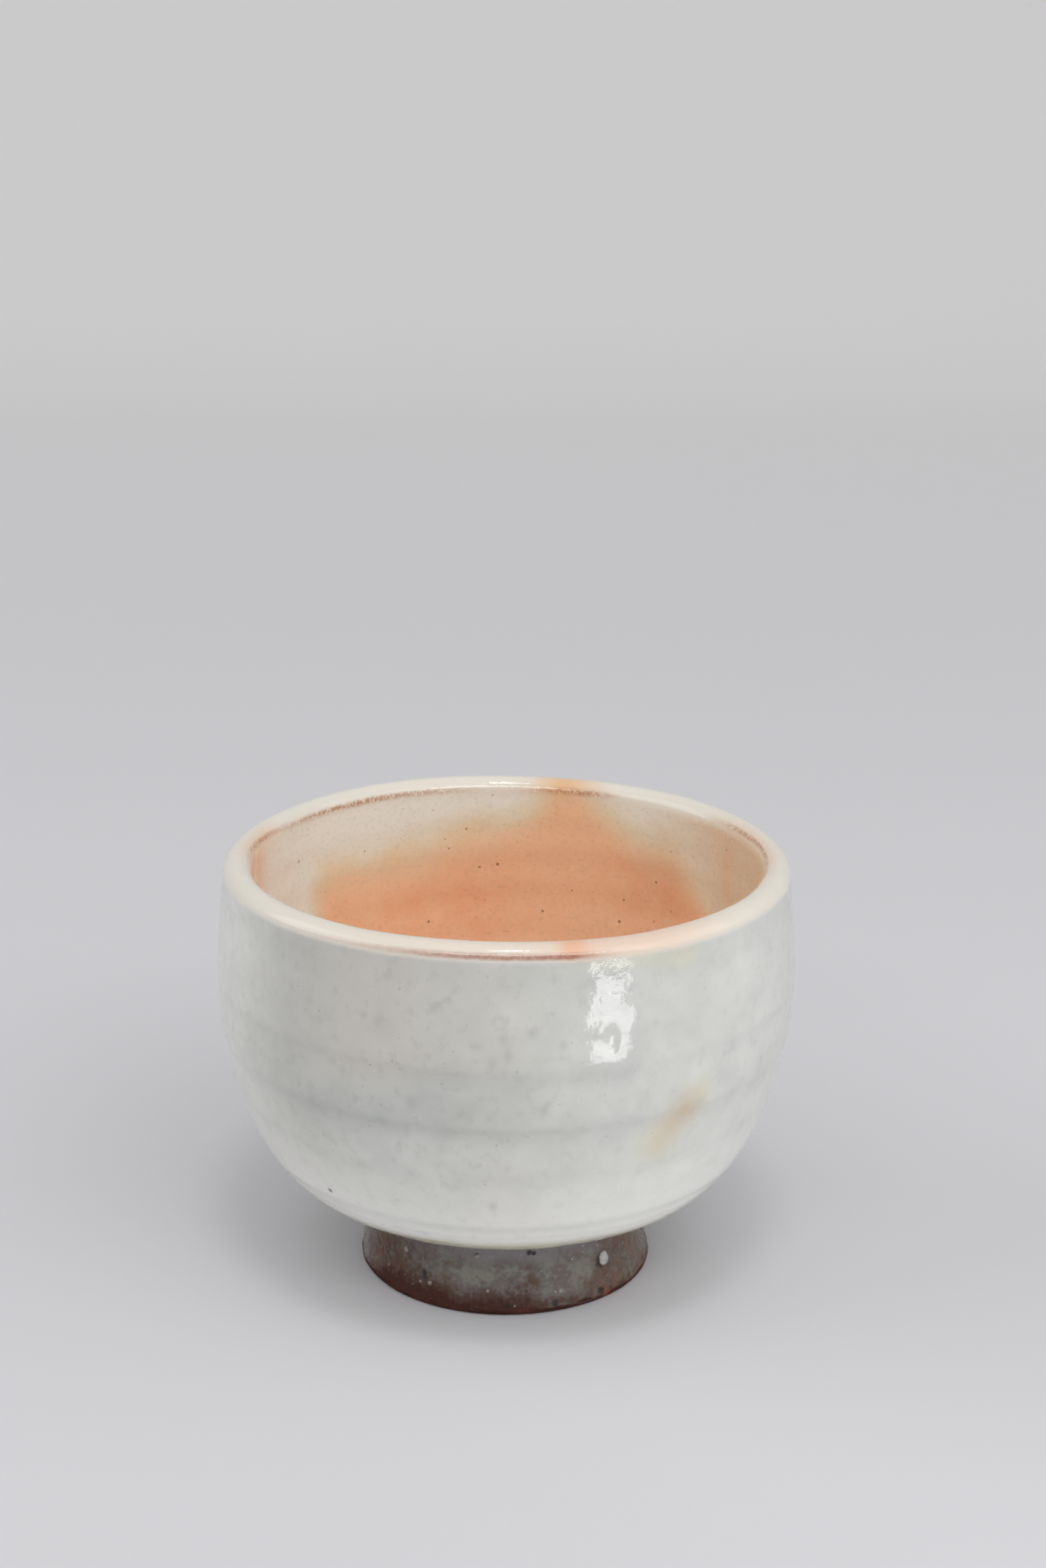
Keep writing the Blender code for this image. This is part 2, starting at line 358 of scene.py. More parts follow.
class Graph:
    """Adds nodes to one node tree and links them."""

    def __init__(self, tree: bpy.types.NodeTree, place: Socket | None = None) -> None:
        """Keeps the tree, and what gives places in metres, which are Object coordinates by default."""
        self.tree = tree
        self.place = self.node("ShaderNodeTexCoord", {}).outputs["Object"] if place is None else place

    def feed(self, socket: Socket, value: object) -> None:
        """Links an input to another socket, or sets its own value.

        Args:
            socket: The input.
            value: A socket, a number, a vector or a colour.
        """
        if isinstance(value, bpy.types.NodeSocket):
            self.tree.links.new(value, socket)
        else:
            socket.default_value = (*value, 1.0) if socket.type == "RGBA" else value

    def node(self, kind: str, feeds: Feeds, **settings: object) -> bpy.types.Node:
        """A new node.

        Args:
            kind: The node's Blender type.
            feeds: Values or sockets for its inputs, by name or number.
            settings: Its properties.

        Returns:
            The node.
        """
        node = self.tree.nodes.new(kind)
        for key, value in settings.items():
            setattr(node, key, value)
        for key, value in feeds.items():
            self.feed(node.inputs[key], value)
        return node

    def math(self, operation: str, first: object, second: object = 0.0) -> Socket:
        """The result of a Math node on two numbers or sockets."""
        return self.node("ShaderNodeMath", {0: first, 1: second}, operation=operation).outputs[0]

    def times(self, *factors: object) -> object:
        """The product of numbers or sockets."""
        return reduce(partial(self.math, "MULTIPLY"), factors)

    def plus(self, *terms: object) -> object:
        """The sum of numbers or sockets."""
        return reduce(partial(self.math, "ADD"), terms)

    def minus(self, first: object, second: object) -> Socket:
        """The difference of two numbers or sockets."""
        return self.math("SUBTRACT", first, second)

    def scaled(self, size: object) -> Socket:
        """The places divided by a size, so that a pattern of unit size gets that size."""
        feeds = {0: self.place, "Scale": self.math("DIVIDE", 1.0, size)}
        return self.node("ShaderNodeVectorMath", feeds, operation="SCALE").outputs[0]

    def stretched(self, by: Point) -> Socket:
        """The places with each direction multiplied by a number of its own."""
        return self.node("ShaderNodeVectorMath", {0: self.place, 1: by}, operation="MULTIPLY").outputs[0]

    def noise(self, size: object, detail: float, roughness: float = 0.5) -> Socket:
        """Fractal noise of a size in metres, around one half."""
        feeds = {"Vector": self.scaled(size), "Scale": 1.0, "Detail": detail, "Roughness": roughness}
        return self.node("ShaderNodeTexNoise", feeds).outputs[0]

    def step(self, value: object, low: object, high: object) -> Socket:
        """Eases from 0 at low to 1 at high."""
        feeds = {"Value": value, "From Min": low, "From Max": high}
        return self.node("ShaderNodeMapRange", feeds, interpolation_type="SMOOTHSTEP").outputs[0]

    def layers(self, ground: object, *coats: tuple[object, ...]) -> object:
        """A colour with others laid over it in order.

        Args:
            ground: The lowest colour, or the socket that gives it.
            coats: For each layer its colour, then the shares whose product says how much of it covers.

        Returns:
            The socket that gives the colour.
        """
        for tone, *shares in coats:
            feeds = {0: self.times(*shares), 6: ground, 7: tone}
            ground = self.node("ShaderNodeMix", feeds, data_type="RGBA").outputs[2]
        return ground

    def mask(self, name: str) -> Socket:
        """A mask that the piece's mesh carries."""
        return self.node("ShaderNodeAttribute", {}, attribute_name=name).outputs["Fac"]

    def effect(self, group: bpy.types.NodeTree, **inputs: object) -> bpy.types.NodeOutputs:
        """The outputs of a shared effect, fed with places and with values or sockets by input name."""
        return self.node("ShaderNodeGroup", {"Place": self.place, **inputs}, node_tree=group).outputs

    def cloud(self, cloud: Cloud, **place: Socket) -> Socket:
        """Soft clouds, from 0 to 1, on the graph's own places or on those given as Place."""
        return self.effect(clouding(), Size=cloud.size * MM, Contrast=cloud.contrast, **place)["Value"]

    def swing(self, cloud: Cloud, **place: Socket) -> Socket:
        """The same clouds from minus one half to one half."""
        return self.minus(self.cloud(cloud, **place), 0.5)

    def spots(self, spots: Spots) -> Socket:
        """A mask of scattered round spots."""
        sizes = {"Spacing": spots.spacing * MM, "Radius": spots.radius * MM}
        return self.effect(speckle(), **sizes, Share=spots.share)["Mask"]

    def blot(self, centre: Point, radius: float) -> Socket:
        """A mask of one soft blot about a centre in metres, with a radius in millimetres."""
        return self.effect(blot(), Centre=centre, Radius=radius * MM)["Mask"]

    def bump(self, height: Socket, depth: float) -> Socket:
        """A normal bent by a height, of which 1 stands for a depth in millimetres."""
        return self.node("ShaderNodeBump", {"Distance": depth * MM, "Height": height}).outputs[0]


def new_effect(
    name: str, inputs: dict[str, Kind], outputs: dict[str, Kind]
) -> tuple[Graph, bpy.types.NodeOutputs, bpy.types.NodeInputs]:
    """A node group for an effect, with no nodes in it but its ends.

    Args:
        name: Name of the group.
        inputs: Kinds of its inputs by name, besides Place.
        outputs: Kinds of its outputs by name.

    Returns:
        A graph on the group, the sockets that give its inputs, and those that take its outputs.
    """
    tree = bpy.data.node_groups.new(name, "ShaderNodeTree")
    for way, kinds in (("INPUT", {"Place": Kind.PLACE, **inputs}), ("OUTPUT", outputs)):
        for key, kind in kinds.items():
            tree.interface.new_socket(key, in_out=way, socket_type=kind.value)
    given = tree.nodes.new("NodeGroupInput").outputs
    taken = tree.nodes.new("NodeGroupOutput").inputs
    return Graph(tree, given["Place"]), given, taken


@cache
def speckle() -> bpy.types.NodeTree:
    """Round spots of unlike size: cells of a Voronoi pattern, of which a share have a spot at their middle.

    Returns:
        A group with Place, Spacing and Radius (metres) and Share (0 to 1), which puts out Mask.
    """
    inputs = dict.fromkeys(("Spacing", "Radius", "Share"), Kind.NUMBER)
    graph, given, taken = new_effect("Speckle", inputs, {"Mask": Kind.NUMBER})
    feeds = {"Scale": 1.0, "Vector": graph.scaled(given["Spacing"])}
    cells = graph.node("ShaderNodeTexVoronoi", feeds).outputs
    chance = graph.node("ShaderNodeSeparateColor", {0: cells["Color"]}).outputs
    distance = graph.times(cells["Distance"], given["Spacing"])
    reach = graph.times(given["Radius"], graph.plus(chance[1], 0.35))
    spot = graph.step(distance, reach, graph.times(reach, 0.5))
    chosen = graph.math("LESS_THAN", chance[0], given["Share"])
    graph.feed(taken["Mask"], graph.times(spot, chosen))
    return graph.tree


@cache
def clouding() -> bpy.types.NodeTree:
    """Soft cloudy unevenness: fractal noise with its contrast raised about one half.

    Returns:
        A group with Place, Size (metres) and Contrast, which puts out Value from 0 to 1.
    """
    inputs = dict.fromkeys(("Size", "Contrast"), Kind.NUMBER)
    graph, given, taken = new_effect("Clouding", inputs, {"Value": Kind.NUMBER})
    cloud = graph.noise(given["Size"], detail=4.0, roughness=0.55)
    value = graph.plus(graph.times(graph.minus(cloud, 0.5), given["Contrast"]), 0.5)
    graph.feed(taken["Value"], graph.node("ShaderNodeClamp", {"Value": value}).outputs[0])
    return graph.tree


@cache
def blot() -> bpy.types.NodeTree:
    """One soft round blot: 1 at its centre, 0 from its radius on, with an edge made ragged by noise.

    Returns:
        A group with Place, Centre and Radius (metres), which puts out Mask.
    """
    inputs = {"Centre": Kind.PLACE, "Radius": Kind.NUMBER}
    graph, given, taken = new_effect("Blot", inputs, {"Mask": Kind.NUMBER})
    feeds = {0: graph.place, 1: given["Centre"]}
    distance = graph.node("ShaderNodeVectorMath", feeds, operation="DISTANCE").outputs["Value"]
    ragged = graph.minus(graph.noise(given["Radius"], detail=2.0), 0.5)
    share = graph.plus(graph.math("DIVIDE", distance, given["Radius"]), ragged)
    graph.feed(taken["Mask"], graph.step(share, 1.0, 0.45))
    return graph.tree


@dataclass(frozen=True)
class LipTones:
    """Colours round the lip, shared by the three coats that meet there. Lines lie in mm from its top."""

    cream: Colour = (0.690, 0.652, 0.572)
    peach: Colour = (0.726, 0.405, 0.258)
    honey: Colour = (0.690, 0.415, 0.215)
    rust: Colour = (0.320, 0.132, 0.084)
    ginger: Colour = (0.400, 0.185, 0.090)
    waver: Cloud = Cloud(1.6, 1.2)
    grain: Cloud = Cloud(0.5, 2.4)
    outer_line: float = -2.75
    inner_line: float = 3.2
    masks: tuple[str, ...] = ("Crest", "Outer rust", "Inner rust", "Peach", "Honey")

    @cache
    def group(self) -> bpy.types.NodeTree:
        """Cream over the lip, peach and honey where the flame passed, and two ragged rusty lines along it.

        Returns:
            A group with Place, Crest (millimetres from the lip's top, inwards), and Outer rust, Inner rust,
            Peach and Honey (0 to 1), which puts out Colour, and Share, how much of it covers the next coat.
        """
        inputs = dict.fromkeys(self.masks, Kind.NUMBER)
        outputs = {"Colour": Kind.COLOUR, "Share": Kind.NUMBER}
        graph, given, taken = new_effect("Lip tones", inputs, outputs)
        crest = graph.plus(given["Crest"], graph.times(graph.swing(self.waver), 0.3))
        grain = graph.cloud(self.grain)
        out = graph.minus(crest, self.outer_line)
        line = graph.times(graph.step(out, 0.90, 0.05), graph.step(out, -0.65, -0.05))
        broken = graph.plus(graph.times(graph.step(grain, 0.10, 0.80), 0.20), 0.78)
        away = graph.math("ABSOLUTE", graph.minus(crest, self.inner_line))
        dotted = graph.times(graph.step(away, 0.95, 0.05), graph.step(grain, 0.00, 0.75))
        colour = graph.layers(
            self.cream,
            (self.peach, given["Peach"]),
            (self.honey, given["Honey"]),
            (self.rust, line, broken, given["Outer rust"]),
            (self.ginger, dotted, given["Inner rust"]),
        )
        graph.feed(taken["Colour"], colour)
        graph.feed(taken["Share"], graph.times(graph.step(crest, -3.9, -2.8), graph.step(crest, 5.2, 3.0)))
        return graph.tree

    def on(self, graph: Graph) -> bpy.types.NodeOutputs:
        """The group in a material, fed from the masks of the piece."""
        masks = {name: graph.mask(name.lower().replace(" ", "_")) for name in self.masks}
        return graph.effect(self.group(), **masks)

    def layer(self, graph: Graph) -> tuple[Socket, Socket]:
        """The tones as a layer over a coat's own colour."""
        tones = self.on(graph)
        return tones["Colour"], tones["Share"]


class Finish:
    """What a surface is made of and how it looks."""

    name: str

    def material(self) -> bpy.types.Material:
        """Makes the material.

        Returns:
            A material whose Principled shader is fed with the finish's looks.
        """
        material = bpy.data.materials.new(self.name)
        material.use_nodes = True
        graph = Graph(material.node_tree)
        shader = material.node_tree.nodes["Principled BSDF"]
        for key, value in self.looks(graph).items():
            graph.feed(shader.inputs[key], value)
        return material

    def looks(self, graph: Graph) -> Feeds:
        """What the shader's inputs get, by name."""
        raise NotImplementedError


@dataclass(frozen=True)
class WhiteGlaze(Finish):
    """Milky glaze outside: white where it is thick, cooler and greyer where it is thin."""

    name: str = "white_glaze"
    thick: Colour = (0.670, 0.673, 0.636)
    thin: Colour = (0.398, 0.411, 0.390)
    warm: Colour = (0.515, 0.473, 0.420)
    # Painted light: a whiter tone for the floor's bounce light on the heel.
    painted_heel_light: Colour = (0.800, 0.797, 0.754)
    fleck: Colour = (0.350, 0.337, 0.316)
    straw: Colour = (0.510, 0.375, 0.215)
    lichen: Colour = (0.600, 0.570, 0.400)
    speck: Colour = (0.180, 0.165, 0.145)
    speck_place: Point = (-25.9 * MM, -29.6 * MM, 24.1 * MM)
    speck_radius: float = 0.6
    clouds: Cloud = Cloud(5.0, 1.8)
    mottle: Cloud = Cloud(2.1, 1.9)
    swells: Cloud = Cloud(3.0, 1.0)
    dots: Spots = Spots(2.6, 0.24, 0.32)
    fine_dots: Spots = Spots(1.5, 0.17, 0.45)
    pinholes: Spots = Spots(3.4, 0.30, 0.30)
    lip: LipTones = LipTones()
    roughness: float = 0.07
    depth: float = 0.08

    def looks(self, graph: Graph) -> Feeds:
        """Clouds, flecks, dots and pinholes over the piece's masks.

        Args:
            graph: The material's graph.

        Returns:
            What the shader's inputs get, by name.
        """
        cloud = graph.cloud(self.clouds)
        mottling = graph.mask("mottling")
        # The milk mask also carries painted shade along the upper throwing grooves.
        milk = graph.plus(graph.mask("milk"), graph.times(graph.minus(cloud, 0.5), 0.30))
        colour = graph.layers(
            self.thin,
            (self.thick, milk),
            # Warm tint: the glaze's own pink at the upper left, and painted warm light on the left side and
            # front.
            (self.warm, graph.mask("warmth")),
            # Painted bounce light from the floor, whitening the heel.
            (self.painted_heel_light, graph.mask("heel")),
            (self.fleck, graph.step(graph.cloud(self.mottle), 0.50, 1.00), mottling),
            (self.fleck, graph.mask("smudge")),
            (self.lichen, graph.mask("lichen")),
            (self.straw, graph.mask("smear"), graph.step(cloud, -0.25, 0.60)),
            (self.speck, graph.spots(self.dots), 0.28),
            (self.speck, graph.spots(self.fine_dots), mottling),
            (self.speck, graph.blot(self.speck_place, self.speck_radius)),
            self.lip.layer(graph),
        )
        height = graph.minus(graph.cloud(self.swells), graph.times(graph.spots(self.pinholes), 0.8))
        return {
            "Base Color": colour,
            "Roughness": graph.times(graph.plus(cloud, 0.5), self.roughness),
            "Normal": graph.bump(height, self.depth),
        }


@dataclass(frozen=True)
class RimGlaze(Finish):
    """Cream glaze over the lip, rusty where it thins at its edges."""

    name: str = "cream_glaze"
    clouds: Cloud = Cloud(3.0, 1.8)
    swells: Cloud = Cloud(0.9, 1.3)
    lip: LipTones = LipTones()
    roughness: float = 0.08
    depth: float = 0.03

    def looks(self, graph: Graph) -> Feeds:
        """The lip's tones, with cloudy gloss.

        Args:
            graph: The material's graph.

        Returns:
            What the shader's inputs get, by name.
        """
        return {
            "Base Color": self.lip.on(graph)["Colour"],
            "Roughness": graph.times(graph.plus(graph.cloud(self.clouds), 0.5), self.roughness),
            "Normal": graph.bump(graph.cloud(self.swells), self.depth),
        }


@dataclass(frozen=True)
class Lining(Finish):
    """Cream glaze inside, blushed orange by the fire, with fine dark specks."""

    name: str = "blushed_glaze"
    cream: Colour = (0.757, 0.752, 0.674)
    sand: Colour = (0.660, 0.530, 0.370)
    halo: Colour = (0.730, 0.620, 0.435)
    blush: Colour = (0.806, 0.505, 0.316)
    ember: Colour = (0.770, 0.388, 0.220)
    speck: Colour = (0.150, 0.090, 0.060)
    clouds: Cloud = Cloud(4.5, 1.6)
    grain: Cloud = Cloud(0.7, 2.0)
    swells: Cloud = Cloud(1.5, 1.0)
    dots: Spots = Spots(2.7, 0.30, 0.50)
    fine_dots: Spots = Spots(0.8, 0.13, 0.50)
    lip: LipTones = LipTones()
    roughness: float = 0.30
    depth: float = 0.03

    def looks(self, graph: Graph) -> Feeds:
        """Blush, embers and specks over the piece's masks.

        Args:
            graph: The material's graph.

        Returns:
            What the shader's inputs get, by name.
        """
        cloud = graph.cloud(self.clouds)
        grain = graph.cloud(self.grain)
        above = graph.plus(
            graph.mask("above"),
            graph.times(graph.minus(cloud, 0.5), 3.0),
            graph.times(graph.minus(grain, 0.5), 1.2),
        )
        colour = graph.layers(
            self.cream,
            # Painted shade on the lining's right side: the cream turns to a darker, warmer tan.
            (self.sand, graph.mask("sand")),
            (self.halo, graph.step(above, 7.0, 0.0)),
            (self.blush, graph.step(above, 3.0, -5.5)),
            (self.ember, graph.mask("ember"), graph.step(cloud, -0.2, 0.9)),
            (self.speck, graph.step(grain, 0.45, 0.95), 0.12),
            # A darker patch on the blush's right side.
            (self.speck, graph.mask("char")),
            (self.speck, graph.spots(self.fine_dots), 0.45),
            (self.speck, graph.spots(self.dots), 0.80),
            self.lip.layer(graph),
        )
        return {
            "Base Color": colour,
            "Roughness": graph.times(graph.plus(cloud, 0.5), self.roughness),
            "Normal": graph.bump(graph.cloud(self.swells), self.depth),
        }


@dataclass(frozen=True)
class FireMarks:
    """Spots on the foot where grains burst, each with its angle, and height and radius in millimetres."""

    # Pits are drawn as dark blots: painted shade, with no hollow in the surface.
    painted_pit_shade: Colour = (0.030, 0.022, 0.019)
    burst: Colour = (0.165, 0.056, 0.030)
    base_radius: float = 22.9 * MM
    lean: float = 0.06
    holes: Marks = (
        (42.2, 6.4, 1.55),
        (10.0, 10.3, 0.65),
        (11.6, 10.1, 0.55),
        (20.0, 1.6, 0.80),
        (-33.2, 5.3, 0.75),
        (-32.9, 4.6, 0.65),
        (40.6, 1.6, 0.95),
        (1.0, 1.7, 0.60),
    )
    bursts: Marks = ((42.4, 1.4, 1.25),)

    def layers(self, graph: Graph) -> list[tuple[Colour, Socket]]:
        """The marks as layers of colour, each a blot on the foot's leaning side.

        Args:
            graph: The material's graph.

        Returns:
            A colour and its share for each mark.
        """
        layers = []
        for tone, marks in ((self.burst, self.bursts), (self.painted_pit_shade, self.holes)):
            for angle, height, radius in marks:
                centre = around(self.base_radius - self.lean * height * MM, angle, height * MM)
                layers.append((tone, graph.blot(tuple(centre), radius)))
        return layers


@dataclass(frozen=True)
class AshWash(Finish):
    """Thin grey-green glaze on the foot, breaking to brown over the coarse clay."""

    name: str = "ash_glaze"
    pale: Colour = (0.172, 0.167, 0.138)
    grey: Colour = (0.122, 0.103, 0.090)
    brown: Colour = (0.078, 0.045, 0.037)
    edge: Colour = (0.054, 0.021, 0.016)
    ochre: Colour = (0.150, 0.085, 0.045)
    tan: Colour = (0.162, 0.102, 0.072)
    # Blue-grey of the wash's top band, made pale as painted light where the bowl's shadow falls.
    smoke: Colour = (0.226, 0.208, 0.212)
    dot: Colour = (0.380, 0.365, 0.335)
    clouds: Cloud = Cloud(2.8, 2.8)
    grit: Cloud = Cloud(0.8, 2.4)
    runs: Cloud = Cloud(1.2, 2.2)
    run_form: Point = (1.0, 1.0, 0.35)
    dots: Spots = Spots(1.3, 0.24, 0.35)
    marks: FireMarks = FireMarks()
    roughness: float = 0.22
    depth: float = 0.10

    def looks(self, graph: Graph) -> Feeds:
        """Clouds, grit, runs, pale dots and marks over the piece's masks.

        Args:
            graph: The material's graph.

        Returns:
            What the shader's inputs get, by name.
        """
        cloud = graph.swing(self.clouds)
        grit = graph.swing(self.grit)
        runs = graph.swing(self.runs, Place=graph.stretched(self.run_form))
        uneven = (graph.times(cloud, 0.37), graph.times(grit, 0.46), graph.times(runs, 0.25))
        bare = graph.plus(graph.mask("bare"), *uneven)
        tanned = graph.mask("tan")
        dots = graph.times(graph.spots(self.dots), 0.6)
        colour = graph.layers(
            self.pale,
            (self.grey, graph.step(bare, 0.0, 0.45)),
            (self.brown, graph.step(bare, 0.35, 0.85)),
            # The blue-grey top band, lightened as painted light where the bowl's shadow falls.
            (self.smoke, graph.mask("smoke")),
            (self.tan, tanned, graph.step(cloud, -0.4, 0.3)),
            (self.edge, graph.step(bare, 0.80, 1.25)),
            (self.ochre, graph.step(grit, 0.12, 0.40), graph.step(cloud, -0.10, 0.30), 0.6),
            (self.dot, dots),
            *self.marks.layers(graph),
        )
        return {
            "Base Color": colour,
            "Specular IOR Level": 0.08,
            "Coat Roughness": 0.16,
            "Coat Weight": graph.times(graph.step(bare, 1.15, 0.35), graph.step(tanned, 1.2, -0.2), 0.75),
            "Roughness": graph.plus(graph.times(graph.step(bare, 0.2, 0.9), 0.30), self.roughness),
            "Normal": graph.bump(graph.plus(grit, dots), self.depth),
        }


@dataclass(frozen=True)
class BareClay(Finish):
    """Coarse reddish-brown stoneware, as the turning tool left it."""

    name: str = "bare_clay"
    red: Colour = (0.084, 0.030, 0.022)
    dark: Colour = (0.034, 0.015, 0.012)
    grit: Colour = (0.150, 0.090, 0.062)
    clouds: Cloud = Cloud(3.0, 2.2)
    coarse: Cloud = Cloud(0.7, 2.0)
    grains: Spots = Spots(1.3, 0.30, 0.25)
    marks: FireMarks = FireMarks()
    roughness: float = 0.80
    depth: float = 0.10

    def looks(self, graph: Graph) -> Feeds:
        """Clouds, grit and marks.

        Args:
            graph: The material's graph.

        Returns:
            What the shader's inputs get, by name.
        """
        cloud = graph.cloud(self.clouds)
        grains = graph.spots(self.grains)
        marks = self.marks.layers(graph)
        return {
            "Base Color": graph.layers(self.dark, (self.red, cloud), (self.grit, grains, 0.5), *marks),
            "Specular IOR Level": 0.06,
            "Roughness": graph.plus(graph.times(cloud, 0.1), self.roughness),
            "Normal": graph.bump(graph.plus(graph.cloud(self.coarse), grains), self.depth),
        }


@dataclass(frozen=True)
class Feldspar(Finish):
    """White grain, half melted by the fire."""

    name: str = "feldspar"
    white: Colour = (0.520, 0.512, 0.484)
    grey: Colour = (0.285, 0.270, 0.248)
    clouds: Cloud = Cloud(0.5, 2.0)
    roughness: float = 0.35
    depth: float = 0.05

    def looks(self, graph: Graph) -> Feeds:
        """Fine clouds.

        Args:
            graph: The material's graph.

        Returns:
            What the shader's inputs get, by name.
        """
        cloud = graph.cloud(self.clouds)
        return {
            "Base Color": graph.layers(self.grey, (self.white, cloud)),
            "Roughness": graph.plus(graph.times(cloud, 0.2), self.roughness),
            "Normal": graph.bump(cloud, self.depth),
        }


@dataclass(frozen=True)
class Coat:
    """A coat of glaze on the bowl: what it stands for, its finish, and where on the section it lies."""

    name: str
    node: str
    slot: Slot
    finish: Finish
    start: Stop
    end: Stop
    rows: int
    back_rows: int


@dataclass
class GlazedBowl:
    """The thrown bowl: the white coat, the rim's band, the lining, and the clay that carries them."""

    # The section.
    seat_height: float = 14.8 * MM
    seat_radius: float = 22.6 * MM
    belly_height: float = 48.5 * MM
    rim_radius: float = 43.75 * MM
    lip_width: float = 4.4 * MM
    coat: float = 1.0 * MM
    glaze_edge_radius: float = 28.5 * MM
    hollow_radius: float = 40.2 * MM
    hollow_floor: float = 19.3 * MM
    heel_drop: float = 1.69
    heel_spread: float = 2.61
    hollow_drop: float = 1.90
    hollow_spread: float = 3.80
    shoulder_curve: float = 1.25
    shoulder_ease: float = 0.18
    outer_line_angle: float = 20.3
    inner_line_angle: float = 21.4
    shell: float = 0.65 * MM
    foot_wall: float = 7.0 * MM
    columns: int = 540
    fine: int = 600
    # Unevenness of the glazed face.
    rings: tuple[Ring, ...] = (
        Ring(48.3 * MM, 1.1 * MM, 2.6 * MM, 0.21 * MM, 0.5),
        Ring(39.5 * MM, 1.0 * MM, 3.0 * MM, 0.20 * MM, 0.6),
        Ring(31.6 * MM, 1.4 * MM, 2.6 * MM, 0.09 * MM),
        Ring(21.8 * MM, 0.7 * MM, 1.2 * MM, 0.075 * MM),
        Ring(19.6 * MM, 0.5 * MM, 0.8 * MM, 0.045 * MM),
        Ring(53.6 * MM, 1.2 * MM, 3.0 * MM, 0.05 * MM),
    )
    out_of_round: Marks = ((2, 0.10, 40.0), (3, 0.05, -70.0))
    rim_rise: Marks = ((1, 0.10, 60.0), (2, 0.10, -20.0), (3, 0.10, 110.0), (5, 0.08, 15.0))
    ring_wander: float = 0.35 * MM
    wander_size: float = 30 * MM
    spiral_depth: float = 0.05 * MM
    spiral_pitch: float = 6.5 * MM
    lump_height: float = 0.10 * MM
    lump_size: float = 17 * MM
    ripple_height: float = 0.035 * MM
    ripple_size: float = 5 * MM
    dimple_height: float = 0.018
    dimple_size: float = 2.6 * MM
    drip: Patch = Patch(-0.20, 19.3, 1.1, 53.7, 2.6)
    drip_dimples: Patch = Patch(0.050, 19.3, 9.0, 53.7, 6.5)
    bevel_place: float = 2.46 * MM
    bevel_half: float = 0.16 * MM
    lumps: Unevenness = Unevenness(11)
    ripples: Unevenness = Unevenness(23)
    edges: Unevenness = Unevenness(37)
    # Thickness of the white glaze, and tones along the lip, by angle.
    milkiness: Table = (
        (-66.0, 1.00), (-44.0, 0.10), (-18.0, 0.22), (0.0, 0.36), (25.0, 0.50),
        (50.0, 0.60), (62.0, 0.68), (120.0, 0.55), (180.0, 0.45), (240.0, 0.50),
    )
    outer_rust: Table = (
        (-56.0, 0.0), (-39.0, 0.14), (-29.0, 0.26), (-20.0, 0.42), (-14.0, 0.70), (-8.0, 0.85),
        (7.0, 0.88), (10.5, 1.0), (13.2, 1.0), (16.0, 0.40), (22.0, 0.0),
    )
    inner_rust: Table = (
        (66.0, 0.0), (80.0, 0.50), (90.0, 0.95), (104.0, 0.90), (113.0, 0.60), (124.0, 0.0),
        (150.0, 0.0), (156.0, 0.60), (163.0, 0.95), (171.0, 0.60), (178.0, 0.12), (188.0, 0.20),
        (196.0, 0.55), (206.0, 0.75), (216.0, 0.95), (228.0, 0.90), (240.0, 0.60), (247.0, 0.40),
        (257.0, 0.90), (264.0, 0.80), (276.0, 0.0),
    )
    peach: Table = (
        (-48.0, 0.0), (-30.0, 0.08), (-8.0, 0.13), (4.0, 0.18), (9.0, 0.32), (10.9, 0.90), (13.4, 0.90),
        (16.0, 0.50), (20.0, 0.42), (30.0, 0.42), (38.0, 0.28), (44.0, 0.14), (56.0, 0.0),
    )
    plume: Table = (
        (68.0, 0.0), (86.0, 0.60), (108.0, 0.50), (126.0, 0.0), (154.0, 0.0), (160.0, 0.50), (166.0, 1.00),
        (171.0, 0.60), (175.0, 0.12), (182.0, 0.0), (246.0, 0.0), (256.0, 0.60), (268.0, 0.55), (280.0, 0.0),
    )
    inner_shift: Table = (
        (70.0, 1.8), (100.0, 1.7), (118.0, 1.1), (150.0, 0.3), (200.0, 0.0), (240.0, 0.1), (262.0, 1.2),
    )
    # Height up to which the lining is blushed, by angle.
    blush_edge: Table = (
        (40.0, 44.0), (80.0, 48.0), (110.0, 52.0), (126.0, 58.6), (136.0, 58.6), (144.5, 57.8),
        (150.5, 58.6), (154.0, 59.8), (158.0, 62.2), (162.0, 66.0), (165.5, 68.5), (169.0, 66.5),
        (172.5, 61.8), (176.2, 59.2), (184.7, 57.2), (193.4, 56.2), (202.2, 53.9), (216.3, 53.3),
        (227.0, 54.2), (236.0, 54.6), (250.0, 50.0), (300.0, 44.0),
    )
    # Tints of the white coat. The warm upper patch is the glaze's own pink; the warm sides are painted warm
    # light.
    warm_upper: Patch = Patch(0.50, -24.0, 18.0)
    warm_light_sides: tuple[Patch, ...] = (Patch(0.16, -48.0, 20.0), Patch(0.18, 0.0, 14.0))
    # Painted shade along the upper throwing grooves, strongest towards the left.
    groove_shade: Patch = Patch(0.12, -10.0, 55.0)
    mottled: Patch = Patch(0.26, -18.0, 34.0)
    smudge: float = 0.45
    smudge_width: float = 0.8
    smudges: Marks = (
        (-2.4, 51.0, 1.1), (0.4, 52.2, 1.4), (-0.4, 54.6, 0.8), (6.8, 43.8, 0.9), (7.7, 44.8, 0.6),
        (10.4, 53.4, 0.7), (4.8, 55.4, 0.8), (-17.2, 44.0, 0.8), (-23.6, 55.6, 0.9), (-2.4, 27.2, 0.9),
        (-31.0, 47.0, 0.7),
    )
